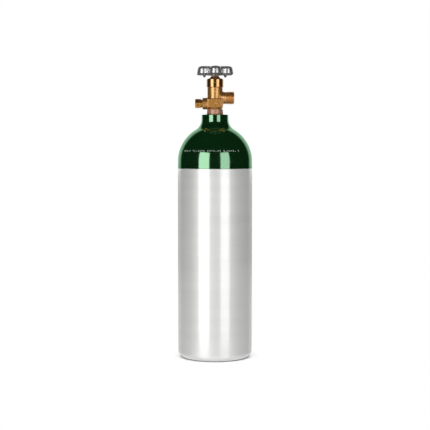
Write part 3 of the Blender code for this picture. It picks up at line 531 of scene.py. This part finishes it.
# --- cylinder ---------------------------------------------------------------------------------------
def shoulder_point(angle, inset=0.0):
    """A point on the elliptical dome, moved inwards by inset along the surface's normal."""
    across, up = math.cos(angle), math.sin(angle)
    normal = (SHOULDER_RISE * across, CYLINDER_RADIUS * up)
    length = math.hypot(*normal)
    return (
        CYLINDER_RADIUS * across - inset * normal[0] / length,
        DOME_BASE + SHOULDER_RISE * up - inset * normal[1] / length,
    )


def crown_outline(inset=0.0):
    """Neck edge, neck, fillet and dome, from the top down to the dome's base."""
    low, high = 0.0, math.pi / 2
    for _ in range(60):
        middle = (low + high) / 2
        if shoulder_point(middle, -NECK_FILLET)[0] > NECK_RADIUS + NECK_FILLET:
            low = middle
        else:
            high = middle
    slope = math.degrees(math.atan2(CYLINDER_RADIUS * math.sin(low), SHOULDER_RISE * math.cos(low)))
    edge_centre = (NECK_RADIUS - NECK_EDGE, SHELL_HEIGHT - NECK_EDGE)
    points = arc(edge_centre, NECK_EDGE - inset, 90, 0, 8)
    points += arc(shoulder_point(low, -NECK_FILLET), NECK_FILLET + inset, 180, 180 + slope, 20)
    return points + [shoulder_point(low * (1 - i / 48), inset) for i in range(1, 49)]


def cylinder_pieces():
    wall = CYLINDER_RADIUS - LACQUER_LIP
    inside = LACQUER + 0.3 * MM
    top = SHELL_HEIGHT - inside
    outline = [(0, top - 2 * MM), (LACQUER_HOLE - 2 * MM, top - 2 * MM), (LACQUER_HOLE - 2 * MM, top)]
    outline += crown_outline(inside)
    outline += softened(
        [(CYLINDER_RADIUS - inside, LACQUER_EDGE + inside), (CYLINDER_RADIUS - inside, LACQUER_EDGE)]
        + [(wall, LACQUER_EDGE), (wall, LACQUER_EDGE - 5 * MM)],
        0.2 * MM,
    )
    outline += [(CYLINDER_RADIUS, LACQUER_EDGE - 12 * MM)]
    outline += arc((CYLINDER_RADIUS - BASE_CORNER, BASE_CORNER), BASE_CORNER, 0, -90, 16)
    outline += [(DISH_RADIUS + 1.5 * MM, 0)]
    outline += [
        (DISH_RADIUS * (1 - i / 12), DISH_DEPTH * (1 - (1 - i / 12) ** 2)) for i in range(1, 13)
    ]
    body = turned("body", outline, 256)
    piece("cylinder_body", body, aluminium, replaces=["cylinder_shell"])

    outer = [(LACQUER_HOLE, SHELL_HEIGHT)] + crown_outline()
    outer += [(CYLINDER_RADIUS, LACQUER_EDGE + 0.6 * MM), (CYLINDER_RADIUS, LACQUER_EDGE + 0.25 * MM)]
    outer += [(CYLINDER_RADIUS - 0.1 * MM, LACQUER_EDGE + 0.05 * MM)]
    inner = [(LACQUER_HOLE, SHELL_HEIGHT - LACQUER)] + crown_outline(LACQUER)
    inner += [(CYLINDER_RADIUS - LACQUER, LACQUER_EDGE + 0.05 * MM)]
    shoulder = turned("shoulder", outer + inner[::-1], 256)
    piece("painted_shoulder", shoulder, lacquer, replaces=["shoulder_lacquer"])


def stamped_strokes():
    """A row of plain strokes round the shoulder, in the place of the stamped markings."""
    angle = math.asin((STROKE_HEIGHT - DOME_BASE) / SHOULDER_RISE)
    radius, level = shoulder_point(angle)
    lean = math.atan2(CYLINDER_RADIUS * math.sin(angle), SHOULDER_RISE * math.cos(angle))
    shape = bmesh.new()
    for i in range(STROKE_COUNT):
        if i % 8 == 5:
            continue
        length = STROKE_LENGTHS[i % 5] * MM
        lift = STROKE_LIFTS[i % 5] * MM
        size = Matrix.Diagonal((STROKE_DEPTH, STROKE_WIDTH, length, 1))
        turn = Matrix.Rotation(math.radians(STROKE_START + STROKE_STEP * i), 4, "Z")
        tilt = Matrix.Rotation(-lean, 4, "Y")
        place = turn @ Matrix.Translation((radius, 0, level)) @ tilt @ Matrix.Translation((0, 0, lift))
        bmesh.ops.create_cube(shape, size=1, matrix=place @ size)
    mesh = bpy.data.meshes.new("strokes")
    shape.to_mesh(mesh)
    shape.free()
    piece("stamped_strokes", mesh, bare_stamp)


# --- valve ------------------------------------------------------------------------------------------
VALVE = Matrix.Translation((0, 0, NECK_SEAT))
OUTLET = VALVE @ Matrix.Translation((0, 0, OUTLET_HEIGHT)) @ Matrix.Rotation(math.pi / 2, 4, "Y")
SAFETY = VALVE @ Matrix.Translation((0, 0, SAFETY_HEIGHT)) @ Matrix.Rotation(-math.pi / 2, 4, "Y")


def wrench_block():
    """The square block that a wrench holds, its corners turned and its underside cut back as a cone."""
    outline = [(0, BLOCK_TOP), (BLOCK_CORNER, BLOCK_TOP), (BLOCK_CORNER, BLOCK_BOTTOM + 0.6 * MM)]
    outline += [(UNDERCUT_RADIUS, COLLAR_HEIGHT + 0.2 * MM), (0, COLLAR_HEIGHT + 0.2 * MM)]
    return milled("block", outline, lambda height: BLOCK_WIDTH / 2, 0, sides=4)


def chamber():
    """The bore for the bonnet, the plug's thread, the chamber, the seat's rim and the orifice below it."""
    outline = [(0, BARREL_TOP + 1 * MM), (BONNET_BORE, BARREL_TOP + 1 * MM), (BONNET_BORE, BONNET_LEDGE)]
    outline += [(PLUG_BORE, BONNET_LEDGE), (PLUG_BORE, CHAMBER_TOP), (CHAMBER_RADIUS, CHAMBER_TOP)]
    outline += [(CHAMBER_RADIUS, CHAMBER_FLOOR), (SEAT_RIM_RADIUS, CHAMBER_FLOOR)]
    outline += [(SEAT_RIM_RADIUS, SEAT_TOP), (ORIFICE_RADIUS, SEAT_TOP)]
    outline += [(ORIFICE_RADIUS, ORIFICE_FLOOR), (0, ORIFICE_FLOOR)]
    return turned("chamber", outline, 64)


def forging():
    """Barrel, wrench block, outlet root and safety boss, blended as a forging is and bored for the stem."""
    barrel = turned(
        "barrel",
        [
            (0, BARREL_TOP),
            (BARREL_RADIUS, BARREL_TOP),
            (BARREL_RADIUS, BLOCK_BOTTOM + 2 * MM),
            (UNDERCUT_RADIUS, BLOCK_BOTTOM),
            (UNDERCUT_RADIUS, COLLAR_HEIGHT - 1 * MM),
            (0, COLLAR_HEIGHT - 1 * MM),
        ],
    )
    root = turned(
        "root",
        [
            (0, THREAD_START + 0.6 * MM),
            (OUTLET_NECK_RADIUS - 0.2 * MM, THREAD_START + 0.6 * MM),
            (OUTLET_NECK_RADIUS, THREAD_START - 2.0 * MM),
            (OUTLET_NECK_RADIUS + 1.4 * MM, 12.0 * MM),
            (OUTLET_NECK_RADIUS + 1.8 * MM, 9.0 * MM),
            (0, 9.0 * MM),
        ],
    )
    boss = turned(
        "boss",
        [
            (0, SAFETY_REACH),
            (SAFETY_BOSS_RADIUS - 0.8 * MM, SAFETY_REACH),
            (SAFETY_BOSS_RADIUS, SAFETY_REACH - 0.8 * MM),
            (SAFETY_BOSS_RADIUS, 6.0 * MM),
            (0, 6.0 * MM),
        ],
    )
    shapes = [moved(barrel, VALVE), moved(wrench_block(), VALVE), moved(root, OUTLET), moved(boss, SAFETY)]
    blank = combined("blank", shapes[0], shapes[1:], "UNION")
    blended = helper(blank)
    remesh = blended.modifiers.new("remesh", "REMESH")
    remesh.mode = "VOXEL"
    remesh.voxel_size = FORGING_VOXEL
    smooth = blended.modifiers.new("smooth", "SMOOTH")
    smooth.factor = 0.5
    smooth.iterations = 7
    return combined("forging", evaluated("blended", blended), [moved(chamber(), VALVE)], "DIFFERENCE")


def outlet_thread():
    """The outlet's thread as a true helix, then its chamfer, face, socket, cone and passage."""
    steps = 120
    root = THREAD_RADIUS - THREAD_DEPTH
    end = OUTLET_REACH - THREAD_CHAMFER
    loops = [[(0, 0, THREAD_START - 2 * MM)], circle(root - 1 * MM, THREAD_START - 2 * MM, steps)]
    turns = (end - THREAD_START) / THREAD_PITCH
    rows = round(turns * 12)
    for row in range(rows + 1):
        height = THREAD_START + (end - THREAD_START) * row / rows
        fade = min(1.0, row / 14)
        loop = []
        for i in range(steps):
            angle = math.tau * i / steps
            phase = ((height - THREAD_START) / THREAD_PITCH - i / steps) % 1
            ridge = min(1.0, max(0.0, 1.5 - abs(phase - 0.5) * 3.4)) * fade
            radius = root + THREAD_DEPTH * ridge
            loop.append((radius * math.cos(angle), radius * math.sin(angle), height))
        loops.append(loop)
    cone_end = OUTLET_REACH - MOUTH_DEPTH - CONE_DEPTH
    bore = softened(
        [
            (root, end + 0.2 * MM),
            (THREAD_RADIUS - THREAD_CHAMFER, OUTLET_REACH),
            (MOUTH_RADIUS, OUTLET_REACH),
            (MOUTH_RADIUS, OUTLET_REACH - MOUTH_DEPTH),
            (PASSAGE_RADIUS + 1.2 * MM, cone_end),
            (PASSAGE_RADIUS, cone_end),
            (PASSAGE_RADIUS, THREAD_START + 0.5 * MM),
        ],
        0.35 * MM,
    )
    loops += [circle(radius, height, steps) for radius, height in bore]
    loops.append([(0, 0, THREAD_START + 0.5 * MM)])
    return moved(skin("outlet thread", loops), OUTLET)


def safety_head():
    """The safety plug's waist and vented hexagon."""
    start = SAFETY_REACH + SAFETY_WAIST_LENGTH
    end = start + SAFETY_HEAD_LENGTH
    corner = SAFETY_HEX / math.sqrt(3)
    outline = softened(
        [
            (0, end),
            (corner - 1.9 * MM, end),
            (corner, end - 1.2 * MM),
            (corner, start + 0.7 * MM),
            (corner - 1.0 * MM, start),
            (SAFETY_WAIST_RADIUS, start),
            (SAFETY_WAIST_RADIUS, SAFETY_REACH + 0.3 * MM),
            (SAFETY_THREAD_RADIUS, SAFETY_REACH + 0.3 * MM),
            (SAFETY_THREAD_RADIUS, SAFETY_REACH - SAFETY_THREAD_LENGTH),
            (0, SAFETY_REACH - SAFETY_THREAD_LENGTH),
        ],
        0.25 * MM,
    )
    middle = (start + end) / 2

    def flat(height):
        """Tumbling has worn the flats towards both ends."""
        return SAFETY_HEX / 2 - SAFETY_WEAR * ((height - middle) / (5.2 * MM)) ** 2

    head = milled("safety head", outline, flat, SAFETY_TURN)
    vents = []
    drill = [(0, VENT_REACH), (VENT_RADIUS, VENT_REACH), (VENT_RADIUS, -VENT_REACH), (0, -VENT_REACH)]
    for i in range(3):
        vent = turned("vent", drill, 24)
        turn = Matrix.Rotation(SAFETY_TURN + i * math.pi / 3, 4, "Z") @ Matrix.Rotation(math.pi / 2, 4, "Y")
        vents.append(moved(vent, Matrix.Translation((0, 0, middle)) @ turn))
    return moved(combined("safety head", head, vents, "DIFFERENCE"), SAFETY)


def valve_pieces():
    piece("valve_forging", forging(), forged_brass, replaces=["valve_body"], sharp=60)
    collar = turned(
        "collar",
        softened(
            [
                (0, COLLAR_HEIGHT),
                (COLLAR_TOP_RADIUS - 0.6 * MM, COLLAR_HEIGHT),
                (COLLAR_TOP_RADIUS, COLLAR_HEIGHT - 0.6 * MM),
                (COLLAR_RADIUS, 0.5 * MM),
                (COLLAR_RADIUS - 0.5 * MM, 0),
                (INLET_RADIUS, 0),
                (INLET_RADIUS, -INLET_SHOWN),
                (0, -INLET_SHOWN),
            ],
            0.5 * MM,
        ),
    )
    piece("valve_collar", moved(collar, VALVE), collar_brass)
    piece("outlet_thread", outlet_thread(), threaded_brass, sharp=50)
    outline = [(0, 0.05 * MM), (1.5 * MM, 0.05 * MM), (2.0 * MM, 0.7 * MM), (2.7 * MM, 0.7 * MM)]
    outline += [(3.2 * MM, -1 * MM), (0, -1 * MM)]
    mark = turned("mark", softened(outline, 0.2 * MM), 48)
    face = Matrix.Translation((MARK_ACROSS, -BLOCK_WIDTH / 2, NECK_SEAT + MARK_HEIGHT))
    mark = moved(mark, face @ Matrix.Rotation(math.pi / 2, 4, "X"))
    piece("forging_mark", mark, forged_brass)
    piece("safety_head", safety_head(), turned_brass, replaces=["safety_plug"])
    bonnet = milled(
        "bonnet",
        softened(
            [
                (STEM_HOLE_RADIUS, BONNET_TOP),
                (STEM_HOLE_RADIUS, BONNET_TOP + CONE_HEIGHT),
                (CONE_TOP_RADIUS, BONNET_TOP + CONE_HEIGHT),
                (CONE_FOOT_RADIUS - 0.4 * MM, BONNET_TOP + 0.9 * MM),
                (CONE_FOOT_RADIUS, BONNET_TOP),
                (BONNET_CHAMFER_RADIUS, BONNET_TOP),
                (BONNET_RADIUS, BONNET_TOP - 2.0 * MM),
                (BONNET_RADIUS, BONNET_SEAT + 0.7 * MM),
                (BONNET_RADIUS - 0.7 * MM, BONNET_SEAT),
                (BONNET_THREAD_RADIUS, BONNET_SEAT),
                (BONNET_THREAD_RADIUS, BONNET_SEAT - 4 * MM),
            ],
            0.5 * MM,
        ),
        lambda height: BONNET_FLAT,
        BONNET_TURN,
        crown=BONNET_CROWN,
    )
    piece("bonnet_nut", moved(bonnet, VALVE), polished_brass, replaces=["bonnet"])


# --- handwheel --------------------------------------------------------------------------------------
def turn_point(point, angle):
    x, y = point
    return x * math.cos(angle) - y * math.sin(angle), x * math.sin(angle) + y * math.cos(angle)


def wheel_outline(inset, lobe_steps=28, valley_steps=12):
    """The six lobes with filleted valleys between them, drawn inset inside the true outline."""
    half = math.pi / LOBES
    lobe, fillet = LOBE_RADIUS - inset, VALLEY_FILLET + inset
    reach = LOBE_RADIUS + VALLEY_FILLET
    valley = LOBE_CENTRE * math.cos(half) + math.sqrt(reach**2 - (LOBE_CENTRE * math.sin(half)) ** 2)
    side = math.atan2(valley * math.sin(half), valley * math.cos(half) - LOBE_CENTRE)
    hollow = side - half
    points = []
    for i in range(LOBES):
        turn = 2 * half * i
        for step in range(lobe_steps + 1):
            angle = -side + 2 * side * step / lobe_steps
            points.append(turn_point((LOBE_CENTRE + lobe * math.cos(angle), lobe * math.sin(angle)), turn))
        for step in range(1, valley_steps):
            angle = hollow - math.pi - 2 * hollow * step / valley_steps
            point = (valley + fillet * math.cos(angle), fillet * math.sin(angle))
            points.append(turn_point(point, turn + half))
    return points


def wheel_rim():
    """The lobed ring: well rounded on top, lightly at its foot, round its hole too."""
    top = arc((RIM_DRAFT + RIM_TOP_ROUND, RIM_TOP - RIM_TOP_ROUND), RIM_TOP_ROUND, 90, 180, 12)
    foot = arc((RIM_FOOT_ROUND, RIM_BOTTOM + RIM_FOOT_ROUND), RIM_FOOT_ROUND, 180, 270, 6)
    section = top + foot
    loops = [[(x, y, height) for x, y in wheel_outline(inset)] for inset, height in section]
    angles = [math.atan2(y, x) for x, y in wheel_outline(0)]
    hole = arc((RIM_HOLE_RADIUS + 1.2 * MM, RIM_BOTTOM + 1.2 * MM), 1.2 * MM, 270, 180, 4)
    hole += arc((RIM_HOLE_RADIUS + 1.4 * MM, RIM_TOP - 1.6 * MM), 1.4 * MM, 180, 100, 4)
    loops += [[(r * math.cos(a), r * math.sin(a), height) for a in angles] for r, height in hole]
    return skin("rim", loops, ring=True)


def spoke(angle):
    """A waisted arm with an oval section, from inside the hub's wall into the rim."""
    loops = []
    for step in range(13):
        share = step / 12
        reach = SPOKE_START + SPOKE_LENGTH * share
        waist = 1 - SPOKE_WAIST * math.sin(math.pi * share)
        wide = SPOKE_HALF_WIDTH * waist + 0.2 * MM
        loop = []
        for i in range(28):
            a = math.tau * i / 28
            across = wide * math.copysign(abs(math.cos(a)) ** 0.7, math.cos(a))
            up = SPOKE_HALF_HEIGHT * math.copysign(abs(math.sin(a)) ** 0.7, math.sin(a))
            loop.append((reach, across, SPOKE_MIDDLE + up))
        loops.append(loop)
    loops = [[(loops[0][0][0], 0, SPOKE_MIDDLE)]] + loops + [[(loops[-1][0][0], 0, SPOKE_MIDDLE)]]
    return moved(skin("spoke", loops), Matrix.Rotation(angle, 4, "Z"))


def lug(angle):
    """A small tapered foot under a lobe, left by the casting."""
    outline = softened(
        [(0, RIM_BOTTOM + 3 * MM), (2.9 * MM, RIM_BOTTOM + 3 * MM), (2.6 * MM, RIM_BOTTOM + 0.2 * MM)]
        + [(1.4 * MM, LUG_BOTTOM), (0, LUG_BOTTOM)],
        0.5 * MM,
    )
    made = moved(turned("lug", outline, 24), Matrix.Diagonal((1.15, 0.85, 1, 1)))
    return moved(made, Matrix.Rotation(angle, 4, "Z") @ Matrix.Translation((LUG_AT, 0, 0)))


def wheel_pieces():
    wheel = Matrix.Rotation(-math.pi / 2 + WHEEL_TURN, 4, "Z")
    hub = turned(
        "hub",
        softened(
            [
                (HUB_HOLE_RADIUS, HUB_BOTTOM),
                (HUB_HOLE_RADIUS, HUB_RECESS_FLOOR),
                (HUB_RECESS_RADIUS, HUB_RECESS_FLOOR),
                (HUB_RECESS_RADIUS, HUB_TOP),
                (HUB_RADIUS, HUB_TOP),
                (HUB_RADIUS, HUB_BOTTOM + 0.6 * MM),
                (HUB_RADIUS - 0.6 * MM, HUB_BOTTOM),
            ],
            0.3 * MM,
            closed=True,
        ),
        96,
    )
    angles = [math.tau * i / LOBES for i in range(LOBES)]
    arms = [spoke(angle) for angle in angles]
    casting = combined("casting", wheel_rim(), [hub] + arms + [lug(angle) for angle in angles], "UNION")
    name, body = "lobed_handwheel", "spindle"
    thing = piece(name, moved(casting, wheel), wheel_metal, body, ["handwheel"])
    thing.data.materials.append(underside_painted_shade)
    # painted shade: faces that look down under the rim, and all faces below the rim's foot such as the lugs,
    # get the dark colour
    for face in thing.data.polygons:
        underside = face.normal.z < PAINTED_SHADE_SLOPE and face.center.z < PAINTED_SHADE_TOP
        if underside or face.center.z < RIM_BOTTOM - 0.2 * MM:
            face.material_index = 1
    rings = (
        ("hub_washer", 7.5, 4.3, nylon, "nylon"),
        ("wheel_washer", 5.7, 2.7, steel, "steel"),
    )
    for node, outer, inner, look, slot in rings:
        low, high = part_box(node)[0].z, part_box(node)[1].z
        outline = [(inner * MM, high), (outer * MM, high), (outer * MM, low), (inner * MM, low)]
        ring = turned(node, softened(outline, 0.2 * MM, closed=True), 96)
        piece(f"{node}_turned", ring, look, body, [node])
    low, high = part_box("wheel_nut")[0].z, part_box("wheel_nut")[1].z
    outline = [(0, high - 0.4 * MM), (2.5 * MM, high - 0.4 * MM), (2.9 * MM, high), (3.9 * MM, high)]
    outline += [(NUT_CORNER, high - 0.7 * MM), (NUT_CORNER, low + 0.4 * MM), (4.1 * MM, low), (0, low)]
    nut = milled("nut", softened(outline, 0.15 * MM), lambda height: NUT_FLAT, 0)
    drill = [(0, high + MM), (NUT_BORE, high + MM), (NUT_BORE, low - MM), (0, low - MM)]
    bore = turned("nut bore", drill, 48)
    nut = combined("nut", nut, [bore], "DIFFERENCE")
    piece("wheel_nut_chamfered", moved(nut, wheel), steel, body, ["wheel_nut"])


# --- studio -----------------------------------------------------------------------------------------
CAMERA_DISTANCE = 2.1
CAMERA_HEIGHT = 0.386
CAMERA_TILT = math.radians(3.525)
CAMERA_LENS = 97.5
SENSOR_WIDTH = 36
OVERHEAD_SIZE = 2.6
OVERHEAD_ENERGY = 42
OVERHEAD_PLACE = (0, -0.2, 2.2)
# The world's ranges are parts of a direction: how far it points back, or how far it points up.
FILL = 0.8
STUDIO_DARK = 0.012
SWEEP_WHITE = 0.95
SWEEP_BACK = (0.62, 0.76)  # from the dark studio to the white sweep
HORIZON = (-0.035, -0.015)
BELOW_HORIZON = 0.3  # share of the studio's and the sweep's brightness that is left there
TABLE_GLOW = 0.3
TABLE_NEAR = (-0.14, -0.10)
TABLE_UNDER = (-0.7, -0.25)
FLOOR_RADIUS = 6
FLOOR_DROP = 0.0003
FLOOR_SHADOW_GREY = (0.12, 0.12, 0.12)
FLOOR_WHITE = (0.9, 0.9, 0.9)
CONTACT_SHADE = (0.057, 0.063)  # the floor's colour is darkened inside the first radius as a painted contact shadow, and is white outside the second
FLOOR_FADE = (0.07, 0.17)  # from a lit floor to a glowing one
CARDS = (
    # name, azimuth in degrees, distance, width, lowest and highest z, strength
    ("softbox_left", -33.9, 2.0, 1.177, -0.40, 1.36, 2.7),
    ("softbox_right", 30.9, 2.0, 0.99, -0.40, 1.36, 2.05),
    ("table_left", -33.9, 0.5, 0.27, -0.75, -0.13, 1.5),
    ("table_right", 30.9, 0.5, 0.23, -0.75, -0.13, 1.25),
)


def camera():
    data = bpy.data.cameras.new("camera")
    data.lens = CAMERA_LENS
    data.sensor_width = SENSOR_WIDTH
    data.clip_start = 0.05
    eye = bpy.data.objects.new("camera", data)
    eye.location = (0, -CAMERA_DISTANCE, CAMERA_HEIGHT)
    eye.rotation_euler = (math.pi / 2 - CAMERA_TILT, 0, 0)
    bpy.context.scene.collection.objects.link(eye)
    bpy.context.scene.camera = eye


def glowing(name, strength):
    made, nodes, links = new_material(name)
    nodes.remove(nodes["Principled BSDF"])
    emission = nodes.new("ShaderNodeEmission")
    emission.inputs["Strength"].default_value = strength
    links.new(emission.outputs["Emission"], nodes["Material Output"].inputs["Surface"])
    return made


def card(name, azimuth, distance, width, low, high, strength):
    """An upright card that glows white. The camera doesn't see it."""
    mesh = bpy.data.meshes.new(name)
    corners = [(-width / 2, 0, low), (width / 2, 0, low), (width / 2, 0, high), (-width / 2, 0, high)]
    mesh.from_pydata(corners, [], [(0, 1, 2, 3)])
    mesh.materials.append(glowing(name, strength))
    thing = bpy.data.objects.new(name, mesh)
    turn = Matrix.Rotation(math.radians(azimuth), 4, "Z")
    thing.matrix_world = turn @ Matrix.Translation((0, -distance, 0))
    thing.visible_camera = False
    bpy.context.scene.collection.objects.link(thing)


def overhead():
    """A broad soft light from above. Reflections don't show it."""
    data = bpy.data.lights.new("overhead", "AREA")
    data.shape = "DISK"
    data.size = OVERHEAD_SIZE
    data.energy = OVERHEAD_ENERGY
    light = bpy.data.objects.new("overhead", data)
    light.location = OVERHEAD_PLACE
    light.visible_glossy = False
    bpy.context.scene.collection.objects.link(light)


def floor():
    """A white floor that turns into the white background, with its colour darkened where the object stands as
    a painted contact shadow.
    """
    shape = bmesh.new()
    bmesh.ops.create_circle(shape, cap_ends=True, segments=96, radius=FLOOR_RADIUS)
    mesh = bpy.data.meshes.new("floor")
    shape.to_mesh(mesh)
    shape.free()
    made, nodes, links = new_material("white_floor")
    shader = nodes["Principled BSDF"]
    shader.inputs["Roughness"].default_value = 0.9
    emission = nodes.new("ShaderNodeEmission")
    emission.inputs["Strength"].default_value = 1.0
    coordinates = nodes.new("ShaderNodeTexCoord")
    length = nodes.new("ShaderNodeVectorMath")
    length.operation = "LENGTH"
    links.new(coordinates.outputs["Object"], length.inputs[0])
    # painted contact shadow: the floor's base colour darkens inside CONTACT_SHADE
    shade = spread(nodes, links, length.outputs["Value"], 0.0, 1.0, *CONTACT_SHADE)
    links.new(tinted(nodes, links, shade, FLOOR_SHADOW_GREY, FLOOR_WHITE), shader.inputs["Base Color"])
    share = spread(nodes, links, length.outputs["Value"], 0.0, 1.0, *FLOOR_FADE)
    mix = nodes.new("ShaderNodeMixShader")
    links.new(share, mix.inputs["Fac"])
    links.new(shader.outputs["BSDF"], mix.inputs[1])
    links.new(emission.outputs["Emission"], mix.inputs[2])
    links.new(mix.outputs["Shader"], nodes["Material Output"].inputs["Surface"])
    mesh.materials.append(made)
    thing = bpy.data.objects.new("floor", mesh)
    thing.location.z = -FLOOR_DROP
    thing.visible_glossy = False
    thing.visible_shadow = False
    bpy.context.scene.collection.objects.link(thing)


def world():
    """White to the camera and as soft fill.

    Reflections see a dark studio with a white sweep at the back and a pale table below.
    """
    made = bpy.data.worlds.new("studio")
    made.use_nodes = True
    nodes, links = made.node_tree.nodes, made.node_tree.links
    coordinates = nodes.new("ShaderNodeTexCoord")
    split = nodes.new("ShaderNodeSeparateXYZ")
    links.new(coordinates.outputs["Generated"], split.inputs["Vector"])
    behind = spread(nodes, links, split.outputs["Y"], STUDIO_DARK, SWEEP_WHITE, *SWEEP_BACK)
    studio = nodes["Background"]
    links.new(behind, studio.inputs["Color"])
    above = spread(nodes, links, split.outputs["Z"], BELOW_HORIZON, 1.0, *HORIZON)
    links.new(above, studio.inputs["Strength"])
    near = spread(nodes, links, split.outputs["Z"], TABLE_GLOW, 0.0, *TABLE_NEAR)
    under = spread(nodes, links, split.outputs["Z"], TABLE_GLOW, 0.0, *TABLE_UNDER)
    result = studio
    for glow in (near, under):
        below = nodes.new("ShaderNodeBackground")
        links.new(glow, below.inputs["Color"])
        total = nodes.new("ShaderNodeAddShader")
        links.new(result.outputs[0], total.inputs[0])
        links.new(below.outputs[0], total.inputs[1])
        result = total
    path = nodes.new("ShaderNodeLightPath")
    for rays, strength in (("Is Diffuse Ray", FILL), ("Is Camera Ray", 1.0)):
        white = nodes.new("ShaderNodeBackground")
        white.inputs["Color"].default_value = (1, 1, 1, 1)
        white.inputs["Strength"].default_value = strength
        mix = nodes.new("ShaderNodeMixShader")
        links.new(path.outputs[rays], mix.inputs["Fac"])
        links.new(result.outputs[0], mix.inputs[1])
        links.new(white.outputs[0], mix.inputs[2])
        result = mix
    links.new(result.outputs[0], nodes["World Output"].inputs["Surface"])
    bpy.context.scene.world = made


for subpart in frame["record"]["subparts"]:
    node = frame["nodes"][subpart["node"]]
    node.data.materials.clear()
    node.data.materials.append(LOOKS[subpart["material_slot"]])

cylinder_pieces()
stamped_strokes()
valve_pieces()
wheel_pieces()
camera()
for settings in CARDS:
    card(*settings)
overhead()
floor()
world()
bpy.context.scene.view_settings.view_transform = "Standard"
